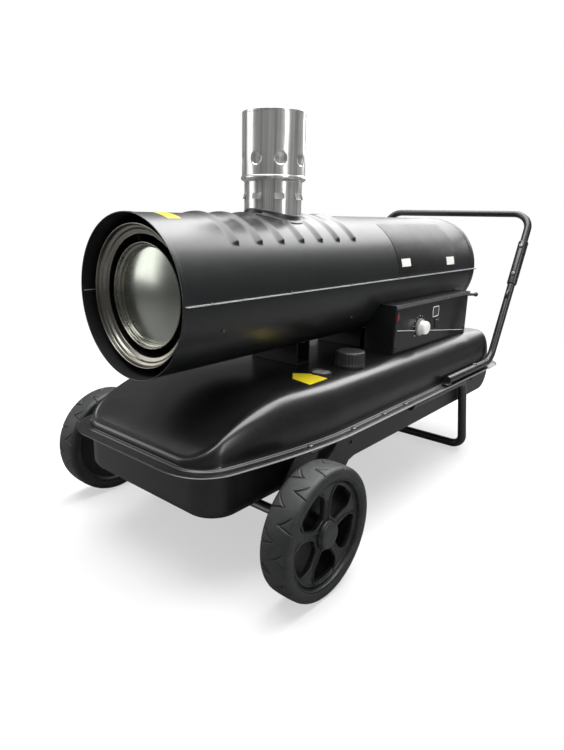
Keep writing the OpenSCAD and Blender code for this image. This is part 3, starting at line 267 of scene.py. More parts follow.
# Plastics, rubber and film: moulded grain, cloudy colour, lighter worn edges
plastics = {
    "blackPlastic": {"color": (0.018, 0.018, 0.019), "roughness": 0.42, "grain": 900, "bump": 0.12, "edge": 0.1},
    "wheelPlastic": {"color": (0.011, 0.012, 0.0125), "roughness": 0.34, "grain": 700, "bump": 0.10, "edge": 0.12},
    "whitePlastic": {"color": (0.78, 0.77, 0.74), "roughness": 0.33, "grain": 800, "bump": 0.04, "edge": 0.2,
                     "coat": 0.1},
    "greyPlastic": {"color": (0.2, 0.205, 0.21), "roughness": 0.4, "grain": 800, "bump": 0.08, "edge": 0.15},
    "redPlastic": {"color": (0.3, 0.012, 0.01), "roughness": 0.35, "grain": 600, "bump": 0.05, "edge": 0.1,
                   "coat": 0.2},
    "ceramicWhite": {"color": (0.8, 0.78, 0.72), "roughness": 0.18, "grain": 300, "bump": 0.04, "edge": 0.1,
                     "coat": 0.5},
    "boardGreen": {"color": (0.015, 0.11, 0.045), "roughness": 0.38, "grain": 500, "bump": 0.08, "edge": 0.2,
                   "coat": 0.2},
    "glossBlack": {"color": (0.0025, 0.0025, 0.003), "roughness": 0.22, "grain": 240, "bump": 0.02, "edge": 0.05,
                   "coat": 0.1},
    "wrapBlack": {"color": (0.004, 0.004, 0.0045), "roughness": 0.4, "grain": 160, "bump": 0.03, "edge": 0.05},
    "tyreRubber": {"color": (0.013, 0.014, 0.0143), "roughness": 0.52, "grain": 420, "bump": 0.25, "edge": 0.18},
    "yellowFilm": {"color": (0.74, 0.6, 0.02), "roughness": 0.3, "grain": 260, "bump": 0.03, "edge": 0.1,
                   "coat": 0.3},
    "windowDark": {"color": (0.012, 0.017, 0.02), "roughness": 0.07, "grain": 120, "bump": 0.01, "edge": 0.05,
                   "coat": 0.8},
}
plasticDust = {"color": (0.35, 0.34, 0.32), "share": 0.05, "coatRoughness": 0.08}


# Cloudy colour, pale edges, a little dust, fine grain in the normal
def makePlastic(name, values):
    n = Finish(name)
    at = n.place()
    cloud = n.noise(at, 11, 4, 0.6)
    tint = n.mix(cloud, shade(values["color"], 0.84), shade(values["color"], 1.14))
    wear = n.math("MULTIPLY", n.edge(0.0015), values["edge"])
    tint = n.mix(wear, tint, shade(values["color"], 2.2, 0.05))
    dust = n.spread(n.noise(at, 40, 5, 0.7), 0, plasticDust["share"], 0.5, 0.8)
    tint = n.mix(dust, tint, plasticDust["color"])
    rough = n.spread(n.noise(at, 21, 4, 0.6), values["roughness"] - 0.05, values["roughness"] + 0.08)
    normal = n.bump(n.noise(at, values["grain"], 3, 0.6), values["bump"], 0.0005)
    n.set(color=tint, roughness=rough, coat=values.get("coat", 0.0), coatRoughness=plasticDust["coatRoughness"],
          normal=normal)
    return n.mat


mats = {}
for looks, make in ((paints, makePaint), (metals, makeMetal), (plastics, makePlastic)):
    for name, values in looks.items():
        mats[name] = make(name, values)
print("materials made:", len(mats))

# What each CAD node wears: the look of its slot, or its own
slotLooks = {
    "black_paint": "blackPaint", "grey_paint": "greyPaint", "tube_paint": "tubePaint",
    "stainless": "stainlessDrum", "zinc_steel": "zincSteel", "brass": "brassMetal", "cast_metal": "castMetal",
    "tyre_rubber": "tyreRubber", "black_plastic": "blackPlastic", "gloss_black": "glossBlack",
    "white_plastic": "whitePlastic", "red_plastic": "redPlastic", "ceramic": "ceramicWhite",
    "board": "boardGreen", "window": "windowDark", "yellow_film": "yellowFilm", "fan_metal": "fanMetal",
}
nodeLooks = {
    "tank_hood": "hoodPaint", "flue_lower": "stainlessFlue", "flue_upper": "stainlessFlue",
    "outlet_ring": "stainlessRing", "exchanger_jacket": "stainlessRing", "label_panel": "wrapBlack",
    "rim_left": "wheelPlastic", "rim_right": "wheelPlastic", "hub_cap_left": "wheelPlastic",
    # Rear guard and saddles in the near-black of painted shade
    "hub_cap_right": "wheelPlastic", "rear_guard": "innerPaint", "saddles": "innerPaint",
}
for row in frame["record"]["subparts"]:
    look = nodeLooks.get(row["node"], slotLooks[row["material_slot"]])
    mesh = cadNodes[row["node"]].data
    mesh.materials.clear()
    mesh.materials.append(mats[look])
print("CAD nodes have their materials")


# Mesh object from points and faces; edges sharper than sharpAngle stay hard
def meshPiece(name, points, faces, material, sharpAngle=None):
    mesh = bpy.data.meshes.new(name)
    mesh.from_pydata(np.asarray(points).tolist(), [], faces)
    mesh.materials.append(mats[material])
    mesh.polygons.foreach_set("use_smooth", [True] * len(mesh.polygons))
    obj = bpy.data.objects.new(name, mesh)
    bpy.context.scene.collection.objects.link(obj)
    if sharpAngle:
        mesh.set_sharp_from_angle(angle=math.radians(sharpAngle))
    return obj


# Several (points, faces) as one, the face numbers moved on by the points before them
def joined(parts):
    points, faces, base = [], [], 0
    for p, f in parts:
        points.append(np.asarray(p, float))
        faces.extend([int(k) + base for k in face] for face in f)
        base += len(p)
    return np.concatenate(points), faces


# Finished piece: joined parts in the frame, riding on a body, in a slot, in place of CAD nodes
def piece(name, parts, material, body=baseBody, replaces=(), sharp=None):
    points, faces = joined(parts)
    obj = meshPiece(name, toFrame(points), faces, material, sharp)
    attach(obj, body)
    if replaces:
        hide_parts(*replaces)
    return obj


# Quads of a grid of points: corner (r, c) with its next neighbours, either way closed on itself
def gridFaces(rows, cols, closeRows=False, closeCols=False):
    r = np.arange(rows if closeRows else rows - 1)[:, None]
    c = np.arange(cols if closeCols else cols - 1)[None, :]
    r2, c2 = (r + 1) % rows, (c + 1) % cols
    quads = np.stack([r * cols + c, r * cols + c2, r2 * cols + c2, r2 * cols + c], axis=-1)
    return quads.reshape(-1, 4)


# The same part seen in a mirror across x, with its faces turned back to point outwards
def mirrored(part):
    points, faces = part
    return np.asarray(points) * [-1, 1, 1], [list(face)[::-1] for face in faces]


# Turns a profile of (radius, distance) about an axis through centre: x, y or z
# The outside lies to the right of the profile's run, with the radius to the right and the distance upwards
def lathe(profile, axis, centre, segments=160, start=0.0, span=360.0):
    prof = np.asarray(profile, float)
    full = span >= 360
    a = np.radians(start + np.arange(segments) * span / (segments if full else segments - 1))
    r, h = prof[:, 0][None, :], prof[:, 1][None, :]
    u, v, w = r * np.cos(a)[:, None], r * np.sin(a)[:, None], h + 0 * a[:, None]
    order = {"x": (w, u, v), "y": (u, w, v), "z": (u, v, w)}[axis]
    points = np.stack(order, axis=-1).reshape(-1, 3) + np.asarray(centre, float)
    faces = gridFaces(segments, len(prof), closeRows=full)
    return points, faces if axis == "y" else faces[:, ::-1]


# Rounds the corners of an open profile: each inner corner becomes a short arc of its own radius
def rounded(profile, radius=1.0, steps=4):
    pts = [np.asarray(p, float) for p in profile]
    out = [pts[0]]
    for before, here, after in zip(pts, pts[1:], pts[2:]):
        back, ahead = before - here, after - here
        reach = min(radius, 0.45 * np.linalg.norm(back), 0.45 * np.linalg.norm(ahead))
        a = here + back / (np.linalg.norm(back) + 1e-9) * reach
        b = here + ahead / (np.linalg.norm(ahead) + 1e-9) * reach
        for t in np.linspace(0, 1, steps + 1):
            out.append((1 - t) ** 2 * a + 2 * t * (1 - t) * here + t * t * b)
    out.append(pts[-1])
    return np.array(out)


# Tube round a path of points: frames are carried along it without twisting
def tubeAlong(path, radius, sides=20, closed=False):
    p = np.asarray(path, float)
    ahead = np.roll(p, -1, 0) - np.roll(p, 1, 0) if closed else np.gradient(p, axis=0)
    ahead /= np.linalg.norm(ahead, axis=1)[:, None]
    ref = np.array([0, 0, 1.0]) if abs(ahead[0][2]) < 0.9 else np.array([1.0, 0, 0])
    side = []
    for t in ahead:
        ref = ref - t * np.dot(ref, t)
        ref /= np.linalg.norm(ref)
        side.append(ref)
    side = np.array(side)
    other = np.cross(ahead, side)
    a = np.arange(sides) * 2 * np.pi / sides
    ring = side[:, None, :] * np.cos(a)[None, :, None] + other[:, None, :] * np.sin(a)[None, :, None]
    points = (p[:, None, :] + ring * radius).reshape(-1, 3)
    faces = gridFaces(len(p), sides, closeRows=closed, closeCols=True).tolist()
    if not closed:
        faces.append(list(range(sides))[::-1])
        faces.append([(len(p) - 1) * sides + k for k in range(sides)])
    return points, faces


# Bent tube path: corner points with one bend radius each, every bend a true arc
def bentPath(corners, radii, step=5.0):
    c = [np.asarray(p, float) for p in corners]
    path = [c[0]]
    for before, here, after, r in zip(c, c[1:], c[2:], radii):
        back, ahead = before - here, after - here
        back /= np.linalg.norm(back)
        ahead /= np.linalg.norm(ahead)
        turn = math.pi - math.acos(np.clip(np.dot(back, ahead), -1, 1))
        start = here + back * (r * math.tan(turn / 2))
        middle = here + (back + ahead) / np.linalg.norm(back + ahead) * (r / math.cos(turn / 2))
        u = (start - middle) / r
        v = -back - u * np.dot(-back, u)
        v /= np.linalg.norm(v)
        for t in np.linspace(0, turn, max(6, int(turn * r / step))):
            path.append(middle + r * (u * math.cos(t) + v * math.sin(t)))
    path.append(c[-1])
    out = [path[0]]
    for p in path[1:]:
        gapLength = np.linalg.norm(p - out[-1])
        if gapLength > 60:  # long straight runs get points in between
            for k in range(1, int(gapLength // 30)):
                out.append(out[-1] + (p - out[-1]) / (int(gapLength // 30) - k + 1))
        out.append(p)
    return np.array(out)


# Place of a flat plate: its depth runs along one axis from a height, u and v take the other two
def facing(axis, at):
    order = {"x": lambda u, v, w: (at + w, u, v), "y": lambda u, v, w: (u, at + w, v),
             "z": lambda u, v, w: (u, v, at + w)}[axis]
    return lambda u, v, w: np.stack(order(u, v, w), -1)


# Flat outlines with holes as a plate with rounded edges; place turns (u, v, depth) into x, y, z
# A place that mirrors would turn the plate inside out, so its faces are turned back
def plate(outlines, thickness, bevel, place, steps=3):
    curve = bpy.data.curves.new("plate", "CURVE")
    curve.dimensions = "2D"
    curve.fill_mode = "BOTH"
    curve.extrude = max(thickness / 2 - bevel, 0.0001)
    curve.bevel_depth = bevel
    curve.bevel_resolution = steps
    curve.offset = -bevel
    for outline in outlines:
        spline = curve.splines.new("POLY")
        spline.points.add(len(outline) - 1)
        flat = np.zeros((len(outline), 4))
        flat[:, :2] = outline
        flat[:, 3] = 1
        spline.points.foreach_set("co", flat.ravel())
        spline.use_cyclic_u = True
    obj = bpy.data.objects.new("plate", curve)
    bpy.context.scene.collection.objects.link(obj)
    mesh = bpy.data.meshes.new_from_object(obj.evaluated_get(bpy.context.evaluated_depsgraph_get()))
    points = np.zeros(len(mesh.vertices) * 3)
    mesh.vertices.foreach_get("co", points)
    faces = [list(face.vertices) for face in mesh.polygons]
    bpy.data.objects.remove(obj)
    bpy.data.meshes.remove(mesh)
    p = points.reshape(-1, 3)
    probe = place(*(p[0][:, None] + 0.001 * np.eye(3, 4, 1)))
    if np.linalg.det(probe[1:] - probe[0]) < 0:
        faces = [face[::-1] for face in faces]
    return place(*p.T), faces


# Outline of a rectangle with quarter circles at its corners
def roundRect(u0, v0, u1, v1, radius, steps=6):
    out = []
    for cu, cv, a0 in ((u1 - radius, v1 - radius, 0), (u0 + radius, v1 - radius, 90),
                       (u0 + radius, v0 + radius, 180), (u1 - radius, v0 + radius, 270)):
        for t in np.linspace(0, 90, steps + 1):
            a = math.radians(a0 + t)
            out.append((cu + radius * math.cos(a), cv + radius * math.sin(a)))
    return np.array(out)


# The same about its middle
def midRect(middle, halfWide, halfHigh, radius):
    (u, v), (du, dv) = middle, (halfWide, halfHigh)
    return roundRect(u - du, v - dv, u + du, v + dv, radius)


# Circle as points at even angles, against the clock
def circle(radius, count=120, middle=(0, 0)):
    a = np.arange(count) * 2 * np.pi / count
    return np.stack((radius * np.cos(a), radius * np.sin(a)), -1) + np.array(middle)


# Cuts every corner of a closed outline at a quarter of its two edges
def smoothed(outline, rounds=2):
    p = np.asarray(outline, float)
    for _ in range(rounds):
        nextP = np.roll(p, -1, 0)
        p = np.stack((0.75 * p + 0.25 * nextP, 0.25 * p + 0.75 * nextP), 1).reshape(-1, 2)
    return p


screw = {
    "rings": [0, 0.08, 0.16, 0.24, 0.32, 0.4, 0.5, 0.62, 0.75, 0.86, 0.94, 1.0, 1.0],
    "around": 48, "domePower": 2.4, "crossWide": 0.12, "crossReach": 0.52, "crossDeep": 0.55,
}


# Pan-head screw with a cross recess: dome height less the depth of a softened cross
def screwHead(centre, normal, radius, height, turn):
    n = Vector(normal).normalized()
    u = Matrix.Rotation(turn, 3, n) @ n.orthogonal().normalized()
    v = n.cross(u)
    count, r = screw["around"], np.array(screw["rings"])
    a = np.arange(count) * 2 * np.pi / count
    rr, aa = r[None, :] * np.ones((count, 1)), a[:, None] * np.ones((1, len(r)))
    dome = height * (0.45 + 0.55 * np.sqrt(np.clip(1 - rr ** screw["domePower"], 0, 1)))
    x, y = rr * np.cos(aa), rr * np.sin(aa)
    arm = np.minimum(np.abs(x), np.abs(y))
    cross = np.clip((screw["crossWide"] - arm) / 0.05, 0, 1) * np.clip((screw["crossReach"] - rr) / 0.1, 0, 1)
    z = dome - cross * height * screw["crossDeep"]
    z[:, -1] = 0
    z[:, -2] = height * 0.42
    p = (np.asarray(centre)[None, None, :] + x[..., None] * radius * np.array(u)
         + y[..., None] * radius * np.array(v) + z[..., None] * np.array(n))
    return p.reshape(-1, 3), gridFaces(count, len(r), closeRows=True)


# Cylinder: two half shells; a louvre is a lip that slopes up towards the rear and drops at its open edge
shell = {
    "radius": 149.0, "length": 1194.0, "axisZ": 526.0, "inside": 147.4,
    "louvreFirst": 165.0, "louvrePitch": 64.7, "louvreCount": 7, "louvreHigh": 4.6, "louvreLong": 20.0,
    "louvreAngle": 38.5, "louvreFade": 3.2, "flueY": 391.0, "flueHole": 70.0,
    "lipIn": 145.0, "lipOut": 157.0, "lipHigh": 1.5, "lipGap": 0.05,
    "frontHem": [(148.0, 12), (148.0, 0.6), (149.4, -0.2), (149.9, 1.0), (149.9, 9.5), (149.0, 10.2)],
    "rearHem": [(149.0, 1171), (149.9, 1172), (149.9, 1192.5), (149.2, 1194), (147.6, 1193.4), (147.6, 1184)],
    "seamScrews": 6, "seamScrewX": 153.5, "seamScrewEnd": 60.0,
    "sideScrews": [(101, -20.7), (537, -32.7), (101, 200.7), (537, 212.7)],  # y and angle round the axis
}
radius, axisZ = shell["radius"], shell["axisZ"]
centreLine = (0, 0, axisZ)


# Rings of the shell in y: even ones, and between them a dense set at each louvre
def louvreRows(values):
    long = values["louvreLong"]
    ys = list(np.linspace(0, values["length"], 120))
    for i in range(values["louvreCount"]):
        y = values["louvreFirst"] + i * values["louvrePitch"]
        ys = [v for v in ys if not y - long - 4 < v < y + 6]
        ys += [y + 5, y + 2.5, y + 0.9, y + 0.7] + list(y - np.linspace(0, long, 13))
        ys += [y - long - 3]
    return np.array(sorted(ys))


# Radius = wall + slope of the lip (half a cosine along y, faded at both ends round the axis) + slight waves
def upperShell(values):
    ys = louvreRows(values)
    cells = 240
    yy, aa = np.meshgrid(ys, np.radians(np.linspace(0, 180, cells + 1)), indexing="ij")
    out = np.zeros_like(yy)
    reach = np.radians(90 - values["louvreAngle"])
    across = np.clip((reach - np.abs(aa - np.pi / 2)) / math.radians(values["louvreFade"]), 0, 1)
    ends = across * across * (3 - 2 * across)
    openCells = np.zeros((len(ys) - 1, cells), bool)
    for y in values["louvreFirst"] + np.arange(values["louvreCount"]) * values["louvrePitch"]:
        t = (y - yy) / values["louvreLong"]
        slope = 0.5 + 0.5 * np.cos(np.pi * np.clip(t, 0, 1) ** 0.9)
        out += np.where((t >= -1e-6) & (t <= 1), values["louvreHigh"] * ends * slope, 0)
        row = int(np.argmin(np.abs(ys - y)))
        middles = aa[row][:-1] + np.pi / (2 * cells)
        openCells[row] |= np.abs(middles - np.pi / 2) < reach - math.radians(1.2)
    waves = 0.12 * np.sin(yy / 170.0 + 1.3 * np.sin(aa * 2)) * np.sin(aa * 3)
    r = values["radius"] + out + waves * np.sin(aa)
    points = np.stack((r * np.cos(aa), yy, axisZ + r * np.sin(aa)), -1).reshape(-1, 3)
    faces = gridFaces(len(ys), cells + 1)[:, ::-1]
    centre = points[faces].mean(1)
    holed = (centre[:, 0] ** 2 + (centre[:, 1] - values["flueY"]) ** 2 < values["flueHole"] ** 2)
    return points, faces[~(openCells.ravel() | holed)]


# Seam lips of one half shell: a flat strip along each side between two heights over the axis
def lipPlates(values, low, high):
    strip = roundRect(values["lipIn"], 4, values["lipOut"], values["length"] - 1, 2.5)
    middle = axisZ + (low + high) / 2
    return [plate([strip], high - low, 0.45, lambda u, v, w: np.stack((s * u, v, middle + w), -1))
            for s in (1, -1)]


# Screws of the seam lips, and those that face outwards at places round the axis
def shellScrews(values):
    end, count = values["seamScrewEnd"], values["seamScrews"]
    heads = []
    for i in range(count):
        y = end + i * (values["length"] - 2 * end) / (count - 1)
        for side in (-1, 1):
            place = (side * values["seamScrewX"], y, axisZ + values["lipHigh"])
            heads.append(screwHead(place, (0, 0, 1), 3.4, 2.2, 0.5 + i))
    for y, angle in values["sideScrews"]:
        c, s = math.cos(math.radians(angle)), math.sin(math.radians(angle))
        heads.append(screwHead((radius * c, y, axisZ + radius * s), (c, 0, s), 4.2, 2.3, angle))
    return heads


piece("upperShellSkin", [upperShell(shell)], "blackPaint", replaces=("upper_shell", "louvres"),
      sharp=32)
lowerWall = lathe([(radius, y) for y in np.linspace(0, shell["length"], 40)], "y", centreLine, 181, 180, 180)
# Upper seam lips in light grey: a painted highlight along the seam; the lower lips stay black
piece("seamLipsHighlight", lipPlates(shell, shell["lipGap"], shell["lipHigh"]), "seamPaint", sharp=32)
piece("lowerShellSkin", [lowerWall, *lipPlates(shell, -shell["lipHigh"], -shell["lipGap"])], "blackPaint",
      replaces=("lower_shell",), sharp=32)
piece("shellHems", [lathe(rounded(shell["frontHem"], 0.8), "y", centreLine, 240),
                    lathe(rounded(shell["rearHem"], 0.7), "y", centreLine, 240)], "blackPaint")
# Inside of the shell in near-black: painted shade
inner = lathe([(shell["inside"], shell["length"] - 1), (shell["inside"], 1)], "y", centreLine, 120)
piece("shellInside", [inner], "innerPaint")
piece("shellScrews", shellScrews(shell), "darkSteel", replaces=("body_screws",), sharp=40)

# Stainless ring at the outlet with its beads, and the drum with a stepped rim and a shallow mirror end
outlet = {
    "ring": [(113.2, 60), (113.0, 39), (113.6, 37.2), (115.6, 36.4), (119.8, 35.2), (121.4, 33), (122.4, 30.4),
             (124.6, 29.6), (127.0, 28.5), (128.2, 25), (128.6, 20.5), (129.4, 19.0), (131.0, 19.4), (131.5, 22),
             (131.4, 60)],
    "rim": [(88.2, 54.0), (89.2, 53.0), (90.2, 50.5), (90.8, 47.2), (92.4, 46.2), (94.2, 45.4), (95.0, 43.0),
            (95.6, 39.6), (96.9, 38.4), (98.1, 39.2), (98.5, 42), (98.4, 120)],
    "dome": 9.0, "domeRadius": 88.2, "domeY": 54.0,
}
outletRing = lathe(rounded(outlet["ring"], 1.4, 3), "y", centreLine, 240)
drumRim = lathe(rounded(outlet["rim"], 1.2, 3), "y", centreLine, 240)
domeProfile = [(max(r, 0.002) * outlet["domeRadius"], outlet["domeY"] - outlet["dome"] * (1 - r * r))
               for r in np.linspace(0, 1, 30)]
piece("outletRing", [outletRing], "stainlessRing", replaces=("outlet_ring",), sharp=60)
piece("drumRim", [drumRim], "stainlessDrum", sharp=60)
piece("drumDisc", [lathe(domeProfile, "y", centreLine, 200)], "stainlessDisc",
      replaces=("drum_end",))
print("cylinder made")

# Flue: lower pipe with lanced tabs, upper socket with a bead and round holes with drawn edges
flue = {
    "y": 391.0, "lowRadius": 62.5, "highRadius": 68.0, "top": 881.0, "holeZ": 787.0, "holeRadius": 11.0,
    "holes": 8, "turn": 8.0, "tabZ": 713.0, "tabHalf": (11, 6), "tabRise": 3.0,
    "bead": [(62.8, 742), (63.6, 744), (66.8, 745), (69.6, 747), (70.4, 750), (69.6, 753), (68.2, 755),
             (68.0, 760)],
    "topHem": [(68.0, 876), (68.3, 877), (68.4, 881.0), (67.4, 881.4), (66.9, 880.6), (66.8, 800)],
    "seamAngle": 30.0, "seamRadius": 68.4, "seam": (-5, 757, 5, 880),
    "collar": [(72.5, 0.4), (72.4, 1.4), (71.6, 2.3), (66.5, 2.7), (65.2, 3.4), (64.2, 9.5), (63.4, 12.5),
               (62.9, 12.8)],
}
flueCentre = (0, flue["y"], 0)


# Point on a pipe of radius r at an angle round the flue, at height z
def onFlue(r, angle, z):
    return np.stack((r * np.cos(angle), flue["y"] + r * np.sin(angle), z), -1)


# Radius = pipe less a Gaussian dent at the rim of every hole; faces inside the holes are left open
def flueUpper(values):
    around, base = 480, 754
    low, high = values["holeZ"] - 17, values["holeZ"] + 17
    z = np.unique(np.concatenate((np.linspace(base, low, 6), np.linspace(low, high, 52),
                                  np.linspace(high, values["top"], 24))))
    aa, zz = np.meshgrid(np.arange(around) * 2 * np.pi / around, z, indexing="ij")
    step = 2 * np.pi / values["holes"]
    near = (aa - math.radians(values["turn"]) + step / 2) % step - step / 2
    far = np.hypot(near * values["highRadius"], zz - values["holeZ"]) / values["holeRadius"]
    r = values["highRadius"] - 1.8 * np.exp(-((far - 1) / 0.16) ** 2) + 0.25 * np.sin(aa * 3 + zz / 60)
    faces = gridFaces(around, len(z), closeRows=True)[:, ::-1]
    return onFlue(r, aa, zz).reshape(-1, 3), faces[far.ravel()[faces].mean(1) > 1.0]


# Tabs round the lower pipe: small plates bent round it that rise towards their lower edge
def flueTabs(values):
    halfWide, halfHigh = values["tabHalf"]
    tabs = []
    for k in range(values["holes"]):
        a0 = math.radians(values["turn"] + k * 360 / values["holes"])

        def tabPlace(u, v, w):
            r = values["lowRadius"] + 0.1 + values["tabRise"] * np.clip((v + halfHigh) / (2 * halfHigh), 0, 1) + w
            return onFlue(r, a0 + u / values["lowRadius"], values["tabZ"] - v)

        tabs.append(plate([midRect((0, 0), halfWide, halfHigh, 2.0)], 0.9, 0.3, tabPlace))
    return tabs


# Collar: rings of (radius, lift) that follow the round top of the cylinder
def collar(values):
    a = np.arange(200) * 2 * np.pi / 200
    rings = [onFlue(r, a, axisZ + np.sqrt(radius ** 2 - (r * np.cos(a)) ** 2) + lift)
             for r, lift in values["collar"]]
    return np.stack(rings, 1).reshape(-1, 3), gridFaces(200, len(rings), closeRows=True)[:, ::-1]


bead = lathe(rounded(flue["bead"], 1.2, 4), "z", flueCentre, 200)
topHem = lathe(rounded(flue["topHem"], 0.4, 3), "z", flueCentre, 200)
lockSeam = plate([roundRect(*flue["seam"], 1.5)], 1.2, 0.4, lambda u, v, w: onFlue(
    flue["seamRadius"] + w, math.radians(flue["seamAngle"]) + u / flue["highRadius"], v))
piece("flueSocket", [flueUpper(flue), bead, topHem, lockSeam], "stainlessFlue",
      replaces=("flue_upper",), sharp=50)
lowPipe = lathe([(flue["lowRadius"], z) for z in np.linspace(640, 748, 24)], "z", flueCentre, 200)
lowInside = lathe([(flue["lowRadius"] - 1, z) for z in (748, 640)], "z", flueCentre, 160)
piece("flueFoot", [lowPipe, lowInside, *flueTabs(flue)], "stainlessFlue",
      replaces=("flue_lower",), sharp=50)
piece("flueCollar", [collar(flue)], "blackPaint", replaces=("flue_collar",), sharp=50)
print("flue made")

# Tank: the foot's outline narrows at the front, the hood's nose slopes down to it
tank = {
    "footHalf": 238.0, "footTaper": 46.0, "taperPower": 1.6, "taperEnd": 348.0, "taperLength": 300.0,
    "front": -1.0, "rear": 1204.0, "footZ": 243.0, "high": 98.0, "nose": 0.16, "slope": 258.0, "slopePower": 2.15,
    "shoulder": 65.0, "noseShoulder": 8.0, "rearShoulder": 42.0, "cornerRadius": 70.0, "rearRadius": 62.0,
    "spineEnds": (130.0, 200.0),
    # distance outwards and height over the foot: flange, groove and raised bead
    "flange": [(30, -2.9), (29.2, -2.0), (27, -1.2), (24, -0.55), (21, -0.15), (18, 0), (11, 0), (9.6, 0.6),
               (8.4, 2.4), (6.6, 3.4), (4.8, 2.9), (3.4, 1.0), (2.2, 0.2), (0.9, 0.4)],
    "under": [(30, 240.4), (29.4, 240.1), (20, 240.0), (0, 240.0), (-36, 240.0)],
    "dimpleX": 236.0, "dimples": [(216, 300), (604, 316), (587, 258), (472, 248)], "dimpleRadius": 5.0,
    "dimpleDeep": 1.2,
    "panHalf": 205.0, "panTop": 240.0, "panLow": 139.5, "panFront": 8.0, "panRear": 1192.0, "panCorner": 66.0,
    "panEdge": 26.0,
}


# Share of the taper left at y: 0 behind its end, 1 a full length before it
def taperShare(t, y):
    return np.maximum(0, (t["taperEnd"] - y) / t["taperLength"])


# Half width = full half less the taper times the share left, to a power
def footHalfWidth(t, y):
    return t["footHalf"] - t["footTaper"] * taperShare(t, y) ** t["taperPower"]


# Foot: rows of (x, y, outward x, outward y); straight ends, round corners and sides that follow the taper
def footOutline(t):
    def lean(y):
        steep = t["taperPower"] * t["footTaper"] / t["taperLength"]
        return np.arctan(steep * taperShare(t, y) ** (t["taperPower"] - 1))

    r, rr = t["cornerRadius"], t["rearRadius"]
    tip = lean(t["front"] + r * 0.8)
    endY = t["front"] + r * (1 - math.sin(tip))
    cx = footHalfWidth(t, endY) - r * math.cos(tip)
    fx = np.linspace(0, cx, 24)[:-1]
    pts = [np.stack((fx, 0 * fx + t["front"], 0 * fx, 0 * fx - 1), -1)]
    a = np.linspace(-np.pi / 2, -tip, 36)
    pts.append(np.stack((cx + r * np.cos(a), t["front"] + r + r * np.sin(a), np.cos(a), np.sin(a)), -1))
    ys = np.concatenate((np.linspace(endY, t["taperEnd"], 40)[1:],
                         np.linspace(t["taperEnd"], t["rear"] - rr, 70)[1:]))
    ln = lean(ys)
    pts.append(np.stack((footHalfWidth(t, ys), ys, np.cos(ln), -np.sin(ln)), -1))
    a = np.linspace(0, np.pi / 2, 32)[1:]
    pts.append(np.stack((t["footHalf"] - rr + rr * np.cos(a), t["rear"] - rr + rr * np.sin(a),
                         np.cos(a), np.sin(a)), -1))
    bx = np.linspace(t["footHalf"] - rr, 0, 24)[1:]
    pts.append(np.stack((bx, 0 * bx + t["rear"], 0 * bx, 0 * bx + 1), -1))
    rightSide = np.concatenate(pts)
    leftSide = rightSide[1:-1][::-1] * np.array([-1, 1, -1, 1])
    return np.concatenate((rightSide, leftSide))


# The foot moved outwards by a distance, at a height
def footRing(foot, out, z):
    return np.stack((foot[:, 0] + out * foot[:, 2], foot[:, 1] + out * foot[:, 3], 0 * foot[:, 1] + z), -1)


# Height share of the hood along y: 1 behind the slope, falling to the nose by a power of the distance
def noseRise(t, y):
    return 1 - (1 - t["nose"]) * np.clip((t["front"] + t["slope"] - y) / t["slope"], 0, 1) ** t["slopePower"]


# Hood: flange rings, then a rounded shoulder whose width follows the rise, then rings that shrink to a spine
def hoodRings(t, foot):
    y, z0 = foot[:, 1], t["footZ"]
    rise = noseRise(t, y)
    front = t["noseShoulder"] + (t["shoulder"] - t["noseShoulder"]) * rise ** 2
    back = np.clip((y - t["rear"] + 160) / 100, 0, 1)
    wide = front + (t["rearShoulder"] - front) * back
    rings = [footRing(foot, out, z0 + up) for out, up in t["flange"]]
    for s in 1 - np.cos(np.linspace(0, np.pi / 2, 26)[1:]):
        bulge = (1 - (1 - min(1, s)) ** 2.5) ** 0.4
        rings.append(footRing(foot, -s * wide, z0 + t["high"] * rise * bulge))
    # Inside, height = level of the slope + what is left of the shoulder's step
    inner = rings[-1]
    ahead, behind = t["spineEnds"]
    spine = np.clip(inner[:, 1], t["front"] + ahead, t["rear"] - behind)
    step = inner[:, 2] - (z0 + t["high"] * noseRise(t, inner[:, 1]))
    for k in np.linspace(0, 1, 25)[1:]:
        yy = inner[:, 1] + (spine - inner[:, 1]) * k
        level = z0 + t["high"] * noseRise(t, yy)
        rings.append(np.stack((inner[:, 0] * (1 - k), yy, level + step * (1 - k) ** 3), -1))
    return np.stack(rings)


# Shallow pressed dimples: each a Gaussian dent towards the tank's middle line
def dimpled(t, points):
    for side in (1, -1):
        for y, z in t["dimples"]:
            d = np.linalg.norm(points - np.array([side * t["dimpleX"], y, z]), axis=-1)
            away = (points - np.array([0, 0, 40])) * np.array([1, 0, 1])
            inward = -away / (np.linalg.norm(away, axis=-1, keepdims=True) + 1e-6)
            points = points + inward * (t["dimpleDeep"] * np.exp(-(d / t["dimpleRadius"]) ** 2))[..., None]
    return points


# Pan: rounded corners, straight walls and a bottom edge that is a quarter circle
def panSurface(t):
    steps = 14
    around = 4 * (steps + 1)

    def ring(inset, z):
        outline = roundRect(-t["panHalf"] + inset, t["panFront"] + inset, t["panHalf"] - inset,
                            t["panRear"] - inset, max(t["panCorner"] - inset, 4), steps)
        return np.column_stack((outline, np.full(around, z)))

    e, low = t["panEdge"], t["panLow"]
    rings = [ring(0, z) for z in np.linspace(t["panTop"], low + e, 8)]
    rings += [ring(e * (1 - math.cos(a)), low + e - e * math.sin(a)) for a in np.linspace(0, np.pi / 2, 12)[1:]]
    rings += [ring(inset, low + (0.6 if inset > 40 else 0)) for inset in (32, 48, 80)]
    # The last rings keep their length and only narrow
    for inset in (120, 160, 200):
        rings.append(ring(119, low + 0.6) * [(203 - inset) / 86, 1, 1])
    p = np.stack(rings)
    return p.reshape(-1, 3), gridFaces(len(rings), around, closeCols=True)[:, ::-1]


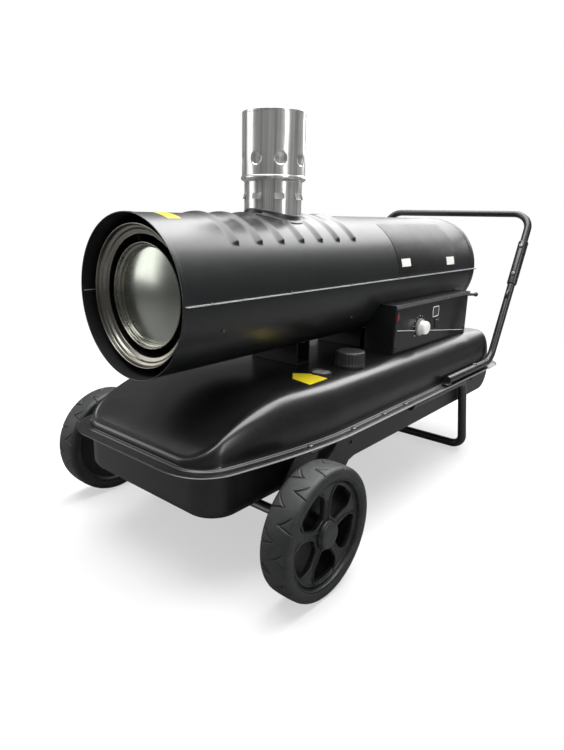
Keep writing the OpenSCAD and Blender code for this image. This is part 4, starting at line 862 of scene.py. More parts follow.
foot = footOutline(tank)
hood = dimpled(tank, hoodRings(tank, foot))
piece("tankHood", [(hood.reshape(-1, 3), gridFaces(len(hood), len(foot), closeCols=True))], "hoodPaint",
      replaces=("tank_hood",), sharp=70)
piece("tankPan", [panSurface(tank)], "greyPaint", replaces=("tank_pan",), sharp=60)
under = np.stack([footRing(foot, out, z) for out, z in tank["under"]])
piece("flangeUnder", [(under.reshape(-1, 3), gridFaces(len(under), len(foot), closeCols=True)[:, ::-1])],
      "blackPaint")
print("tank made")

# Wheels: made about the origin with x from the inner face outwards, then put in place on either side
wheel = {
    "y": 156.0, "z": 127.0, "radius": 127.0, "inside": 291.5, "width": 62.0, "spokes": 5,
    "side": [(106.2, 3.4), (105.4, 4.6), (105.0, 2.6), (106.4, 1.4), (110, 0.6), (114, 0.1), (117, 0.2),
             (119.5, 0.7), (121.6, 1.7), (123.2, 3.1), (124.4, 4.8), (125.2, 6.8)],
    "crownFrom": 8.4, "crownHalf": 24.2, "crownRadius": 125.2, "crownHigh": 1.8,
    "grooves": 13, "grooveDeep": 2.6, "grooveWide": 1.15, "finReach": 0.52,
    "fins": [(3.5, 1.0, -0.02), (-15.0, 1.7, 0.24)],  # swing in degrees, power of the bend, start
    "tyreInside": [(105.2, 57.4), (104.8, 31), (105.2, 4.6)],
    "windowHub": 36.0, "windowRim": 90.0,
    "windowSide": [(36, 9.5), (46, 8.8), (60, 8.6), (74, 9.8), (82, 12.8), (87.5, 18.5)],  # radius, half spoke
    "spokeX": 45.5, "spokeThick": 11.0, "spokeOuter": 99.0,
    "rim": [(104.7, 57.4), (104.3, 59.2), (103.0, 59.4), (101.6, 58.4), (100.4, 55.6), (99.6, 51.5), (98, 47),
            (94.5, 41), (94.5, 20), (96, 9), (100.6, 3.6), (102.6, 2.2), (104.6, 3.0), (104.6, 4.6)],
    "hub": [(12, 5), (27, 5), (27.5, 8), (27.5, 50), (28.5, 52.5), (27.2, 56.5), (25.7, 58.0), (25.6, 55.5)],
    "cap": [(25.2, 55.6), (25.2, 58.2), (24.8, 59.3), (24.0, 60.2), (22.6, 61.0), (20, 61.5), (15, 61.8),
            (8, 61.9), (0.02, 61.95)],
    "web": [(97.5, 18.4), (96, 17.2), (24, 17.2)], "webBack": [(24, 14.0), (97.5, 13.6)],
    "ringRib": [(96.6, 50.8), (96.0, 52.4), (94.9, 52.8), (93.9, 52.2), (93.4, 50.6)],
    "edgeRib": [(27, 5.2), (40, 5.4), (56, 5.8), (68, 7.6), (77, 12.5), (84, 20.5), (90, 30.5)],
    "midRib": [(30, 0), (40, 0), (50, 0), (60, 0), (68, 0)],
}
wheelAxis = (0, 0, 0)


# Tread height = crown profile less a smooth trench; a trench bends in an S from the side edge to the middle
def tyreSurface(values):
    around, w = 2080, values["width"]
    x = np.linspace(values["crownFrom"], w - values["crownFrom"], 24)
    bulge = np.sqrt(np.maximum(0, 1 - ((x - w / 2) / values["crownHalf"]) ** 2))
    crown = list(zip(values["crownRadius"] + values["crownHigh"] * bulge, x))
    r, x = np.array(values["side"] + crown + [(r, w - x) for r, x in values["side"][::-1]]).T
    aa, xx = np.meshgrid(np.arange(around) * 2 * np.pi / around, x, indexing="ij")
    rr = np.broadcast_to(r[None, :], aa.shape).copy()
    pitch = 2 * np.pi / values["grooves"]
    trench = np.zeros_like(rr)
    for across, shift in ((xx, 0.0), (w - xx, 0.5)):
        share = across / (w * values["finReach"])
        t = np.clip(share, 0, 1)
        for swing, power, start in values["fins"]:
            bend = math.radians(swing) * (1 - t) ** power
            off = ((aa - bend - shift * pitch + pitch / 2) % pitch - pitch / 2) * values["radius"]
            wide = values["grooveWide"] * (0.75 + 0.25 * np.sin(np.pi * t))
            cut = 1 / (1 + np.exp(np.clip((np.abs(off) - wide) / 0.3, -30, 30)))
            ends = np.clip((1 - share) * 14, 0, 1) * np.clip((t - start) * 9, 0, 1)
            trench = np.maximum(trench, cut * ends)
    rr = rr - values["grooveDeep"] * trench * np.clip((rr - 118.0) / 6.0, 0, 1)
    points = np.stack((xx, rr * np.cos(aa), rr * np.sin(aa)), -1).reshape(-1, 3)
    return points, gridFaces(around, len(r), closeRows=True)[:, ::-1]


# Puts wheel parts in place on the right, or mirrored on the left
def onWheel(parts, side):
    right = [(np.asarray(p, float) + [wheel["inside"], 0, 0], f) for p, f in parts]
    return [(p + [0, wheel["y"], wheel["z"]], f) for p, f in (map(mirrored, right) if side < 0 else right)]


# Window between two spokes: both sides follow the spokes, arcs close it at the rim and the hub
def windowOutline(values, mid):
    half = math.pi / values["spokes"]
    rim, hub = values["windowRim"], values["windowHub"] - 3.0
    pts = [(r, half - math.asin(spoke / r)) for r, spoke in values["windowSide"]]
    out = [(r, mid - t) for r, t in pts]
    out += [(rim, mid + t) for t in np.linspace(0.1 - pts[-1][1], pts[-1][1] - 0.1, 9)]
    out += [(r, mid + t) for r, t in pts[::-1]]
    out += [(hub, mid + t) for t in np.linspace(pts[0][1] - 0.12, 0.12 - pts[0][1], 5)]
    return smoothed([(r * math.cos(a), r * math.sin(a)) for r, a in out])


# Round rib along a line of (distance from the hub, distance sideways) on a spoke turned by an angle
def spokeRib(line, turn, x, thick, sides):
    u, v = np.array(line, float).T
    c, s = math.cos(turn), math.sin(turn)
    return tubeAlong(np.stack((np.full_like(u, x), u * c - v * s, u * s + v * c), -1), thick, sides)


# Rim: spoke plate with windows, ribs on the spokes' edges and middles, rim ring, hub and closed back web
def rimParts(values):
    turns = [math.radians(90 + 360 / values["spokes"] * k) for k in range(values["spokes"])]
    windows = [windowOutline(values, t + math.pi / values["spokes"]) for t in turns]
    parts = [plate([circle(values["spokeOuter"], 200), *windows], values["spokeThick"], 2.2,
                   facing("x", values["spokeX"]), 4)]
    for name, segments, steps in (("rim", 220, 4), ("hub", 120, 3), ("web", 160, 0), ("webBack", 160, 0),
                                  ("ringRib", 200, 0)):
        profile = rounded(values[name], 1.0, steps) if steps else values[name]
        parts.append(lathe(profile, "x", wheelAxis, segments))
    for t in turns:
        for s in (-1, 1):
            parts.append(spokeRib([(u, s * v) for u, v in values["edgeRib"]], t, 51.0, 1.9, 10))
        parts.append(spokeRib(values["midRib"], t, 50.6, 1.3, 8))
    return parts


tyre = [tyreSurface(wheel), lathe(wheel["tyreInside"], "x", wheelAxis, 160)]
rim = rimParts(wheel)
hubCap = [lathe(wheel["cap"], "x", wheelAxis, 120)]
for side, word in hands:
    body = "wheel_" + word + "_body"
    piece("tyre" + word.title(), onWheel(tyre, side), "tyreRubber", body, ("tyre_" + word,), 55)
    piece("rim" + word.title(), onWheel(rim, side), "wheelPlastic", body, ("rim_" + word,), 40)
    piece("hubCap" + word.title(), onWheel(hubCap, side), "wheelPlastic", body,
          ("hub_cap_" + word,), 60)
print("wheels made")

# Side plates with a hub lobe, a notch and two holes, their flanges under the tank, and the axle's spacers
plates = {
    "x": 228.0, "thick": 3.0, "axleY": 156.0, "axleZ": 127.0, "hub": 24.0, "rear": 1184.0, "rearRadius": 55.0,
    "low": 163.0, "top": 240.0, "holes": [(400, 199, 4.5), (1054, 211, 5.5)],
    "lowEdge": [(140, -18), (190, -8), (224, 14)],  # from the axle
    # from the axle and from the top
    "notch": [(130, -3), (200, -3), (188, -32), (160, -52), (118, -70), (100, -62), (122, -34)],
    "flanges": [(218, 282), (358, 628)], "flangeWide": 33.0, "flangeThick": 2.9, "flangeZ": 238.4,
    "spacer": [(13, 231.5), (16, 231.6), (16.2, 233), (16.2, 240), (13.5, 242), (13.5, 294), (16, 295.5),
               (16, 298)],
}


# Arc round the hub, the rising low edge, a round rear corner, the top and the slope down to the hub
def sideOutline(v):
    def arc(y, z, radius, degrees):
        return [(y + radius * math.cos(math.radians(a)), z + radius * math.sin(math.radians(a))) for a in degrees]

    y0, z0, r = v["axleY"], v["axleZ"], v["rearRadius"]
    pts = [(y0 - v["hub"], z0)] + arc(y0, z0, v["hub"], range(195, 271, 15))
    pts += [(y0 + y, z0 + z) for y, z in v["lowEdge"]] + [(y0 + 240, v["low"] - 5), (y0 + 262, v["low"])]
    pts += arc(v["rear"] - r, v["low"] + r, r, range(270, 361, 9))
    return np.array(pts + [(v["rear"], v["top"]), (y0 + 60, v["top"]), (y0 + 10, v["top"] - 60)])


# Right-hand plate with its holes and its flange strips
def sidePlate(v):
    notch = smoothed([(v["axleY"] + y, v["top"] + z) for y, z in v["notch"]], 2)
    holes = [circle(r, 24, (y, z)) for y, z, r in v["holes"]]
    parts = [plate([sideOutline(v), notch, *holes], v["thick"], 0.7, facing("x", v["x"] + v["thick"] / 2))]
    for y0, y1 in v["flanges"]:
        strip = roundRect(v["x"] + 0.2, y0, v["x"] + v["flangeWide"], y1, 5)
        parts.append(plate([strip], v["flangeThick"], 0.6, facing("z", v["flangeZ"])))
    return parts


rightPlate = sidePlate(plates)
piece("sidePlates", [*rightPlate, *map(mirrored, rightPlate)], "greyPaint",
      replaces=("side_plates",), sharp=40)
spacer = lathe(plates["spacer"], "x", (0, plates["axleY"], plates["axleZ"]), 60)
piece("axleSpacers", [spacer, mirrored(spacer)], "tubePaint", sharp=50)

# Rear leg and handle: bent tubes, the handle's riser leans back and carries the sleeves and bolts
tubes = {
    "legRadius": 12.0, "legX": 245.0, "legFront": 640.0, "legY": 1010.0, "legTop": 227.9, "legLean": 14.0,
    "legBend": 34.0, "gripRadius": 11.0, "gripX": 252.0, "gripFront": 832.0, "gripZ": 254.9, "gripBendY": 1136.0,
    "gripTop": 694.0, "gripLean": 26.0, "gripBend": 54.0, "sleeveLow": 252.0, "sleeveHigh": 392.0, "boltY": 1018.0,
    "footX": 4.2, "footHalf": 6.8, "footZ": 246.4,
    "latch": [(205, 10.5), (210, 14.2), (217, 14.2), (222, 10.5)],  # along the riser, out to its front
    "sleeve": [(11.2, 0), (14.3, 0.1), (14.4, -0.1), (11.2, 0)],
}
t = tubes
lean = math.radians(t["gripLean"])
riserUp = np.array([0, math.sin(lean), math.cos(lean)])
outward = np.array([0, math.cos(lean), -math.sin(lean)])
sleeveMiddle = (t["sleeveLow"] + t["sleeveHigh"]) / 2


# Point on the riser's axis at a distance s up from the bend's corner
def onRiser(side, s):
    return np.array([side * t["gripX"], t["gripBendY"], t["gripZ"]]) + riserUp * s


# Sleeve turned upright, then leaned back like the riser
def sleeve(side):
    (r0, z0), (r1, z1), (r2, z2), (r3, z3) = t["sleeve"]
    low, high = t["sleeveLow"], t["sleeveHigh"]
    points, faces = lathe(rounded([(r0, low + z0), (r1, low + z1), (r2, high + z2), (r3, high + z3)], 1.0, 4),
                          "z", (0, 0, 0), 48)
    x, y, z = points.T
    turned = np.stack((x, y * math.cos(lean) + z * math.sin(lean), -y * math.sin(lean) + z * math.cos(lean)), -1)
    return turned + onRiser(side, 0), faces


# Screw heads on both faces of each sleeve and one on each foot of the handle
def handleBolts():
    bolts = []
    for side, _ in hands:
        for s in (t["sleeveLow"] + 30, t["sleeveHigh"] - 18):
            for face, turn in ((outward, 0.4), (-outward, 0.9)):
                bolts.append(screwHead(onRiser(side, s) + face * 14.2, tuple(face), 6.5, 3.8, turn + s))
        bolts.append(screwHead((side * t["gripX"], t["boltY"], t["gripZ"] + 10.6), (0, 0, 1), 6.5, 3.2, 0.7))
    return bolts


legBendY = t["legY"] - (t["legTop"] - t["legRadius"]) * math.tan(math.radians(t["legLean"]))
legPoints = ((t["legY"], t["legRadius"]), (legBendY, t["legTop"]), (t["legFront"], t["legTop"]))
legSide = [(t["legX"], y, z) for y, z in legPoints]
legRoute = bentPath([(-x, y, z) for x, y, z in legSide[::-1]] + legSide, [t["legBend"]] * 4)
piece("rearLeg", [tubeAlong(legRoute, t["legRadius"], 32)], "tubePaint",
      replaces=("rear_leg",), sharp=60)
for side, word in hands:
    x = side * t["gripX"]
    route = bentPath([(x, t["gripFront"], t["gripZ"]), (x, t["gripBendY"], t["gripZ"]),
                      onRiser(side, sleeveMiddle - 1)], [t["gripBend"]])
    foot = plate([midRect((side * (t["gripX"] + t["footX"]), t["gripFront"] - 7), t["footHalf"], 14, 5)], 6.0, 1.2,
                 facing("z", t["footZ"]))
    latch = tubeAlong([onRiser(side, s) - outward * out for s, out in t["latch"]], 4.8, 14)
    piece("handleLower" + word.title(), [tubeAlong(route, t["gripRadius"], 32), foot, latch], "tubePaint",
          replaces=("handle_lower_" + word,), sharp=60)
gripHigh = (t["gripTop"] - t["gripZ"]) / math.cos(lean)
gripRoute = bentPath([onRiser(-1, sleeveMiddle + 1), onRiser(-1, gripHigh), onRiser(1, gripHigh),
                      onRiser(1, sleeveMiddle + 1)], [t["gripBend"]] * 2)
piece("handleUpper", [tubeAlong(gripRoute, t["gripRadius"], 32)], "tubePaint",
      replaces=("handle_upper",), sharp=60)
piece("handleSleeves", [sleeve(side) for side, _ in hands], "tubePaint",
      replaces=("handle_sleeves",), sharp=60)
piece("handleBolts", handleBolts(), "darkSteel", replaces=("handle_bolts",), sharp=35)
print("leg and handle made")

# Control box: folded sheet with a brow lip in light grey paint that is a painted highlight, a gloss panel with a
# thin light line that is a painted reflection, and its parts
box = {
    "y0": 653.0, "y1": 1098.0, "z0": 341.3, "z1": 466.0, "x": 178.0, "inX": 96.0, "sheet": 1.5,
    # From, to and half height of a light line painted across the gloss panel as a reflection
    "onShell": 149.6, "shellFrom": -24.0, "shellTo": -50.1, "reflectionFrom": (668.0, 402.0), "reflectionTo": (1085.0, 350.0),
    "reflectionHalf": 0.7, "printX": 1.66, "printThick": 0.24, "mark": (669.0, 435.5),
    "knob": (786.0, 397.0), "window": (880.0, 428.3), "rocker": (893.0, 393.3),
    "scale": 11, "scaleRadius": 30.0, "scaleFrom": 225.0, "scaleStep": 27.0,
    "skirt": [(22.9, 0.1), (23.0, 4.6), (21.6, 6.0), (18.6, 6.6), (17.8, 7.2)],
    "grip": [(18.4, 6.4), (18.2, 8.0), (17.4, 19.0), (15.8, 23.6), (11.0, 25.7), (0.02, 26.4)],
    "keyHalf": (11.5, 9.6), "keyHigh": 3.1, "keyDish": 2.2,
    "screwIn": 14.0, "screwTop": 20.0, "screwLow": 16.0,
    "hook": [(166, 1098, 454.1), (166, 1145, 450.0), (166, 1188.7, 446.2)], "hookRadius": 4.5, "hookBall": 7.0,
    "hookFoot": (157, 444, 175, 460),
    "gland": [(13, 1098.2), (13, 1105), (12.0, 1106.2), (10.8, 1106.6), (10.6, 1108), (8.4, 1119), (7.4, 1120.2),
              (4.6, 1119.6), (4.5, 1100)],
}


# Holes through the side and the panel for switch, knob shaft and window, in y and z
def controlHoles(b):
    return [midRect(b["rocker"], 12, 11, 1), circle(4.3, 32, b["knob"]), midRect(b["window"], 16, 12, 1)]


# Sheets of the box; the end walls follow the cylinder: z = axis + r sin(angle), x = r cos(angle)
def boxWalls(b):
    a = np.radians(np.linspace(b["shellFrom"], b["shellTo"], 24))
    arc = np.stack((b["onShell"] * np.cos(a), axisZ + b["onShell"] * np.sin(a)), -1)
    top, half = b["z1"] - 0.9, b["sheet"] / 2
    end = np.concatenate(([(b["inX"], b["z0"]), (b["x"], b["z0"]), (b["x"], top), (arc[0, 0], top)], arc))
    side = [roundRect(b["y0"], b["z0"], b["y1"], b["z1"] - 1.0, 1.5), *controlHoles(b)]
    base = [roundRect(b["inX"], b["y0"] + 0.5, b["x"] - 0.5, b["y1"] - 0.5, 1.5)]
    roof = [roundRect(b["inX"] + 40, b["y0"] - 1.6, b["x"] + 5.5, b["y1"] + 1.6, 4)]
    return [
        plate([end], b["sheet"], 0.5, facing("y", b["y0"] + half)),
        plate([end], b["sheet"], 0.5, facing("y", b["y1"] - half)),
        plate(side, b["sheet"], 0.5, facing("x", b["x"] - half)),
        plate(base, 1.4, 0.4, facing("z", b["z0"] + 0.7)),
        plate(roof, 1.8, 0.7, facing("z", top)),
    ]


# Print on the panel: a sloping light line that is a painted reflection, frame of the window and dots round the
# knob, every fifth one larger
def panelPrintAndReflection(b):
    (y0, z0), (y1, z1), high = b["reflectionFrom"], b["reflectionTo"], b["reflectionHalf"]
    # The first shape is the sloping light line: a painted reflection, not print
    shapes = [[np.array([(y0, z0 - high), (y1, z1 - high), (y1, z1 + high), (y0, z0 + high)])],
              [midRect(b["window"], 18.5, 14.5, 5), midRect(b["window"], 16.6, 12.6, 3.6)]]
    ky, kz = b["knob"]
    for k in range(b["scale"]):
        a = math.radians(b["scaleFrom"] - b["scaleStep"] * k)
        at = (ky + b["scaleRadius"] * math.cos(a), kz + b["scaleRadius"] * math.sin(a))
        shapes.append([circle(1.05 if k % 5 else 1.7, 20, at)])
    return [plate(shape, b["printThick"], 0.08, facing("x", b["x"] + b["printX"])) for shape in shapes]


# Knob part: a profile of (radius, height) turned about the knob's shaft
def aroundKnob(b, profile, radius, steps):
    return lathe(rounded(profile, radius, steps), "x", (b["x"] + 1.8, *b["knob"]), 96)


# Key height = flat + dish with the square of the distance from its middle, less rounded side edges
def rockerKey(b):
    halfU, halfV = b["keyHalf"]
    sy, sz = b["rocker"]
    v = np.linspace(-halfV, halfV, 25)
    u = np.concatenate(([-halfU, -11.2], np.linspace(-10.4, 10.4, 9), [11.2, halfU]))
    uu, vv = np.meshgrid(u, v, indexing="ij")
    edge = np.clip((halfU - np.abs(uu)) / 1.2, 0, 1) ** 0.5
    high = b["keyHigh"] + b["keyDish"] * (vv / halfV) ** 2 - (1 - edge) * 1.6
    high[:, 0] = high[:, -1] = 0.5
    p = np.stack((b["x"] + high, sy + uu, sz + vv), -1)
    return p.reshape(-1, 3), gridFaces(len(u), len(v))[:, ::-1]


# Hook: a rod that runs back from the box, dips a little and ends in a ball
def cordHook(b):
    x, y, z = b["hook"][-1]
    r = b["hookBall"]
    ball = [(max(0.02, r * math.sin(a)), y - r * math.cos(a)) for a in np.linspace(0, math.pi, 25)]
    foot = plate([roundRect(*b["hookFoot"], 3)], 2.0, 0.6, facing("y", b["y1"] + 1.2))
    return [tubeAlong(b["hook"], b["hookRadius"], 24), lathe(ball, "y", (x, 0, z), 48), foot]


y0, y1, z0, z1, face = box["y0"], box["y1"], box["z0"], box["z1"], box["x"]
# Brow lip: painted light grey as a highlight on the box's top front edge
brow = plate([roundRect(y0 - 1.6, z1 - 9, y1 + 1.6, z1 - 0.2, 2.0)], 1.6, 0.6, facing("x", face + 4.6))
panel = plate([roundRect(y0 + 4, z0 + 2.2, y1 - 4, z1 - 9.5, 5), *controlHoles(box)], 1.5, 0.6,
              facing("x", face + 0.8))
glass = plate([midRect(box["window"], 15.9, 11.9, 3)], 2.0, 0.7, facing("x", face + 1.0))
mark = plate([midRect(box["mark"], 3, 8.5, 2)], 0.3, 0.1, facing("x", face + 1.7))
piece("controlBox", boxWalls(box), "blackPaint", replaces=("control_box",), sharp=40)
piece("boxBrowHighlight", [brow], "browPaint", sharp=40)
piece("controlPanel", [panel], "glossBlack", replaces=("control_panel",), sharp=40)
# Print and the painted reflection line, in white
piece("panelPrintAndReflectionLine", panelPrintAndReflection(box), "whitePlastic", sharp=40)
piece("displayWindow", [glass], "windowDark", replaces=("display_window",), sharp=40)
piece("redMark", [mark], "redPlastic", sharp=40)

# Knob: grey skirt, white rounded grip with one pointer rib
skirt = aroundKnob(box, box["skirt"], 1.2, 4)
grip = aroundKnob(box, box["grip"], 3.2, 7)
rib = plate([roundRect(-1.7, 1.0, 1.7, 15.2, 1.5) + np.array(box["knob"])], 1.6, 0.6, facing("x", face + 27.7))
piece("knobSkirt", [skirt], "greyPlastic", "knob_body", sharp=60)
piece("temperatureKnob", [grip, rib], "whitePlastic", "knob_body", ("temperature_knob",), 55)

# Rocker: frame on the panel and a key with a dished face
frameRing = plate([midRect(box["rocker"], 15, 14, 3), midRect(box["rocker"], 12.1, 11.1, 1.5)], 2.4, 0.8,
                  facing("x", face + 2.4))
piece("rockerFrame", [frameRing], "blackPlastic", sharp=40)
piece("rockerKey", [rockerKey(box)], "blackPlastic", "rocker_body", ("rocker_switch",), sharp=45)
heads = [screwHead((face + 1.5, y, z), (1, 0, 0), 4.0, 1.8, y)
         for z in (z1 - box["screwTop"], z0 + box["screwLow"])
         for y in (y0 + box["screwIn"], y1 - box["screwIn"])]
piece("panelScrews", heads, "tubePaint", sharp=35)
piece("cordHook", cordHook(box), "blackPlastic", replaces=("cord_hook",), sharp=60)
gland = lathe(rounded(box["gland"], 0.8, 3), "y", (face - 26, 0, z0 + 30), 12)
piece("cableGland", [gland], "blackPlastic", replaces=("cable_gland",), sharp=25)
print("control box made")

# Fuel cap: fluted side between a base ring and a rounded top edge, on a neck ring
cap = {
    "at": (158, 492), "z": 343.4, "flutes": 28, "fluteDeep": 1.3, "fluteLow": 4.8, "fluteHigh": 30.5,
    "profile": [(32.5, 0.0), (34.4, 0.4), (34.8, 1.6), (34.8, 4.0), (34.2, 4.8), (33.9, 5.6), (33.9, 12),
                (33.8, 20), (33.6, 27.0), (33.3, 29.0), (33.2, 30.0), (32.0, 32.4), (29.5, 33.6), (26.0, 34.0),
                (24.0, 33.2), (22.0, 32.8), (12, 32.9), (0.02, 33.0)],
    "neck": [(34.5, 341.1), (34.5, 342.6), (33.0, 343.2), (24.0, 343.2)],
}


# Radius = profile less a cosine groove to the power 1.6, faded in and out over the side
def fluted(c):
    around, prof = 384, np.array(c["profile"])
    aa, rr = np.meshgrid(np.arange(around) * 2 * np.pi / around, prof[:, 0], indexing="ij")
    zz = np.broadcast_to(prof[:, 1][None, :], rr.shape)
    grooved = np.clip((zz - c["fluteLow"]) / 1.5, 0, 1) * np.clip((c["fluteHigh"] - zz) / 2.0, 0, 1) * (rr > 33)
    rr = rr - c["fluteDeep"] * grooved * (0.5 + 0.5 * np.cos(aa * c["flutes"])) ** 1.6
    p = np.stack((c["at"][0] + rr * np.cos(aa), c["at"][1] + rr * np.sin(aa), c["z"] + zz), -1)
    return p.reshape(-1, 3), gridFaces(around, len(prof), closeRows=True)[:, ::-1]


piece("fuelCap", [fluted(cap)], "blackPlastic", "cap_body", ("fuel_cap",), sharp=50)
neck = lathe(rounded(cap["neck"], 0.5, 3), "z", (*cap["at"], 0), 96)
piece("neckRing", [neck], "blackPaint", sharp=50)

# Gauge: pale face in a raised ring, with marks over the arc that the needle sweeps
gauge = {
    "at": (150, 391), "faceRadius": 19.6, "marks": 9, "markFrom": 200.0, "markStep": 27.5, "markRadii": (14, 17.6),
    "ring": [(23.2, 341.2), (23.3, 344.6), (22.4, 346.0), (20.6, 346.0), (20.0, 344.0), (20.0, 343.2),
             (0.02, 343.2)],
}


# Marks: thin bars that point at the gauge's middle
def gaugeMarks(g):
    near, far = g["markRadii"]
    marks = []
    for k in range(g["marks"]):
        a = math.radians(g["markFrom"] - k * g["markStep"])
        u0 = np.array([math.cos(a), math.sin(a)])
        v0 = np.array([-u0[1], u0[0]]) * 0.5
        bar = np.array([u0 * near - v0, u0 * far - v0, u0 * far + v0, u0 * near + v0]) + np.array(g["at"])
        marks.append(plate([bar], 0.12, 0.03, facing("z", 343.52)))
    return marks


gaugeRing = lathe(rounded(gauge["ring"], 0.6, 3), "z", (*gauge["at"], 0), 120)
gaugeFace = plate([circle(gauge["faceRadius"], 80, gauge["at"])], 0.3, 0.1, facing("z", 343.3))
piece("fuelGauge", [gaugeRing], "blackPlastic", replaces=("fuel_gauge",), sharp=50)
piece("gaugeFace", [gaugeFace], "greyPlastic", sharp=50)
piece("gaugeMarks", gaugeMarks(gauge), "blackPlastic", sharp=50)

# Films: yellow patches and the rear label panel with two bars, all plain
# Each bent one: angles from and to, y from and to, radius it lies on, thickness, corner, rows
films = {
    "shellPatch": (68.5, 84.5, 53, 83, 149.1, 0.25, 2.5, 40),
    "labelPanel": (4, 62, 713, 1058, 149.1, 0.45, 5.0, 90),
    "labelBars": [(10.7, 18.5, 729, 776, 149.6, 0.16, 0.8, 12), (7.8, 16.4, 992, 1042, 149.6, 0.16, 0.8, 12)],
    "tankPatch": [(139, 372), (186, 364), (187, 301), (133, 312), (107, 345)], "tankPatchZ": 341.5,
}


# Film round the cylinder: rows along the angle, drawn in at both ends by a circle's share for round corners
def bentPatch(a0, a1, y0, y1, r0, high, corner, rows):
    a = np.linspace(a0, a1, rows)
    run = corner / 2.6
    past = np.clip((np.abs(a - (a0 + a1) / 2) - (a1 - a0) / 2 + run) / run, 0, 1)
    inset = (1 - np.sqrt(1 - past ** 2)) * corner
    start, end, r = y0 + inset, y1 - inset, r0 + high
    across = [(start, r0 - 0.3), (start + 0.1, r), (start + 0.6, r + 0.05), (0 * a + (y0 + y1) / 2, r + 0.05),
              (end - 0.6, r + 0.05), (end - 0.1, r), (end, r0 - 0.3)]
    c, s = np.cos(np.radians(a)), np.sin(np.radians(a))
    points = np.stack([np.stack((rr * c, y, axisZ + rr * s), -1) for y, rr in across], 1)
    return points.reshape(-1, 3), gridFaces(rows, len(across))


piece("shellPatch", [bentPatch(*films["shellPatch"])], "yellowFilm",
      replaces=("warning_patches",), sharp=40)
tankPatch = plate([np.array(films["tankPatch"], float)], 0.5, 0.2, facing("z", films["tankPatchZ"]))
piece("tankPatch", [tankPatch], "yellowFilm", sharp=40)
piece("labelPanel", [bentPatch(*films["labelPanel"])], "wrapBlack", replaces=("label_panel",),
      sharp=40)
piece("labelBars", [bentPatch(*bar) for bar in films["labelBars"]], "whitePlastic", sharp=40)

flangeScrews = {"ys": (234, 373, 500, 600), "out": 15.0, "z": 243.1}
heads = []
for y in flangeScrews["ys"]:
    x = footHalfWidth(tank, y) + flangeScrews["out"]
    for side, _ in hands:
        heads.append(screwHead((side * x, y, flangeScrews["z"]), (0, 0, 1), 5.4, 3.2, y))
piece("flangeScrews", heads, "darkSteel", sharp=35)
print("small parts made")

# Rear guard: wire rings and spokes in a band, with a disc in the middle, in near-black paint that is painted shade
guard = {
    "y": 1180.0, "wire": 1.9, "rings": (24, 48, 72, 96, 120), "spokes": 8, "spokeRadii": (20, 50, 80, 110, 146),
    "disc": [(24, -2), (24, 0.6), (20, 2.2), (0.02, 2.6)],
    "band": [(147.1, 1152), (147.1, 1193), (145.8, 1193), (145.8, 1152)],
}
wires = []
for r in guard["rings"]:
    a = np.arange(96) * 2 * np.pi / 96
    ring = np.stack((r * np.cos(a), 0 * a + guard["y"], axisZ + r * np.sin(a)), -1)
    wires.append(tubeAlong(ring, guard["wire"], 10, closed=True))
for k in range(guard["spokes"]):
    a = math.radians(360 / guard["spokes"] * k)
    spoke = [(r * math.cos(a), guard["y"] - guard["wire"], axisZ + r * math.sin(a)) for r in guard["spokeRadii"]]
    wires.append(tubeAlong(spoke, guard["wire"], 10))
disc = lathe(rounded([(r, guard["y"] + y) for r, y in guard["disc"]], 1.0, 3), "y", centreLine, 64)
band = lathe(guard["band"], "y", centreLine, 120)
piece("rearGuard", [*wires, disc, band], "innerPaint", replaces=("rear_guard",), sharp=60)

# Saddles: two webs cut to the cylinder and a foot plate on the tank, for each place along it, in near-black paint
# that is painted shade
saddle = {"ys": (430, 700, 960), "webs": (-22.0, 22.0), "thick": 3.0, "radius": 149.4, "angles": (242.2, 297.8),
          "halfWide": 69.5, "footHalf": (70, 25), "footZ": 341.2}
a = np.radians(np.linspace(*saddle["angles"], 30))
arc = np.stack((saddle["radius"] * np.cos(a), axisZ + saddle["radius"] * np.sin(a)), -1)
webOutline = np.concatenate((arc, [(x * saddle["halfWide"], saddle["footZ"]) for x in (1, -1)]))[::-1]
saddleParts = []
for y in saddle["ys"]:
    for dy in saddle["webs"]:
        saddleParts.append(plate([webOutline], saddle["thick"], 0.7, facing("y", y + dy)))
    saddleParts.append(plate([midRect((0, y), *saddle["footHalf"], 3)], saddle["thick"], 0.7,
                             facing("z", saddle["footZ"] + saddle["thick"] / 2)))
piece("saddles", saddleParts, "innerPaint", replaces=("saddles",), sharp=40)
print("guard and saddles made")

# Stage: pale floor that fades into white away from the object
stageLook = {
    "floorColor": (0.8, 0.8, 0.8), "mirrored": (0.16, 0.16, 0.16), "glow": 0.55, "near": 0.9, "far": 2.6,
    "size": 60.0, "floorRoughness": 0.5,
}


# The camera sees the floor mixed with plain white by distance; glossy rays see it darker
def floorMaterial(values):
    n = Finish("floorPale")
    coord = n.node("TexCoord")
    far = n.node("VectorMath", {0: coord.outputs["Object"]}, operation="LENGTH").outputs["Value"]
    fade = n.spread(far, 0, 1, values["near"], values["far"], True)
    path = n.node("LightPath")
    tint = n.mix(path.outputs["Is Glossy Ray"], values["floorColor"], values["mirrored"])
    n.set(color=tint, roughness=values["floorRoughness"], specular=0.2)
    white = n.node("Emission", {"Color": (1, 1, 1, 1), "Strength": 1.0})
    seen = n.math("MAXIMUM", path.outputs["Is Camera Ray"], path.outputs["Is Transmission Ray"])
    share = n.math("MULTIPLY", n.spread(fade, values["glow"], 1.0), seen)
    both = n.node("MixShader", {0: share, 1: n.shader.outputs[0], 2: white.outputs[0]})
    n.link(both.outputs[0], n.out.inputs[0])
    return n.mat


mats["floorPale"] = floorMaterial(stageLook)
s = stageLook["size"]
floor = meshPiece("stageFloor", [(-s, -s, 0), (s, -s, 0), (s, s, 0), (-s, s, 0)], [[0, 1, 2, 3]], "floorPale")

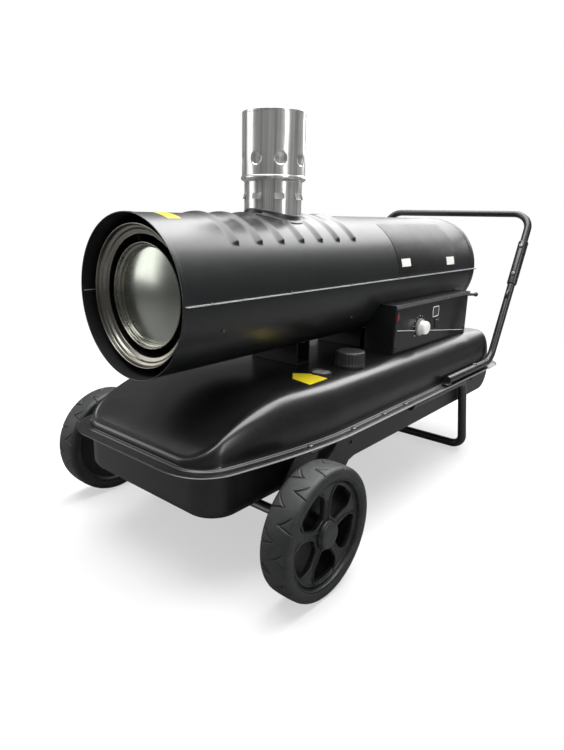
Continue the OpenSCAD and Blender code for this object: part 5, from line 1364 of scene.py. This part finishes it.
# World: white where the camera looks past the object, a soft room for reflections; steps of (height, grey)
worldLook = {
    "low": 0.12, "top": 1.0, "steps": [(0.47, 0.10), (0.52, 0.3), (0.62, 0.14), (0.78, 0.35)], "strength": 0.6,
}


# World colour over the height of the view direction: a grey ramp with a bright band behind the horizon
def makeWorld(values):
    world = bpy.data.worlds.new("studio")
    n = Nodes(world)
    split = n.node("SeparateXYZ", {0: n.node("TexCoord").outputs["Generated"]})
    height = n.node("MapRange", {"Value": split.outputs[2], "From Min": -1.0, "From Max": 1.0})
    ramp = n.node("ValToRGB", {0: height.outputs[0]})
    stops = ramp.color_ramp.elements
    stops[0].position, stops[0].color = 0.0, (values["low"],) * 3 + (1,)
    stops[1].position, stops[1].color = 1.0, (values["top"],) * 3 + (1,)
    for at, level in values["steps"]:
        stops.new(at).color = (level,) * 3 + (1,)
    room = n.node("Background", {"Color": ramp.outputs[0], "Strength": values["strength"]})
    white = n.node("Background", {"Color": (1, 1, 1, 1), "Strength": 1.0})
    seen = n.node("LightPath").outputs["Is Camera Ray"]
    both = n.node("MixShader", {0: seen, 1: room.outputs[0], 2: white.outputs[0]})
    n.link(both.outputs[0], n.node("OutputWorld").inputs[0])
    bpy.context.scene.world = world


makeWorld(worldLook)

# Lights: place and target in the frame's metres, size, power and colour
lights = {
    "overhead": {"place": (-0.1, -0.2, 2.8), "target": (0, 0, 0.4), "size": (2.4, 3.0), "power": 150},
    "frontLeft": {"place": (-2.6, -2.2, 1.4), "target": (0, -0.2, 0.45), "size": (1.6, 2.0), "power": 26,
                  "color": (1, 0.99, 0.97)},
    "rightSide": {"place": (3.4, -0.6, 1.7), "target": (0, 0.1, 0.45), "size": (0.6, 2.4), "power": 32,
                  "color": (0.98, 0.99, 1)},
    "back": {"place": (-0.5, 2.3, 2.9), "target": (0, -0.1, 0.6), "size": (3.2, 2.0), "power": 135},
    "lowBack": {"place": (-0.3, 3.6, 1.6), "target": (0, 0.3, 0.5), "size": (2.4, 1.1), "power": 26},
}


# Area light at a place, turned to look at its target
def makeLight(name, values):
    data = bpy.data.lights.new(name, "AREA")
    data.shape = "RECTANGLE"
    data.size, data.size_y = values["size"]
    data.energy = values["power"]
    data.color = values.get("color", (1, 1, 1))
    obj = bpy.data.objects.new(name, data)
    obj.location = values["place"]
    aim = Vector(values["target"]) - Vector(values["place"])
    obj.rotation_euler = aim.to_track_quat("-Z", "Y").to_euler()
    bpy.context.scene.collection.objects.link(obj)


for name, values in lights.items():
    makeLight(name, values)
bpy.context.scene.view_settings.view_transform = "Standard"
print("stage and lights made")
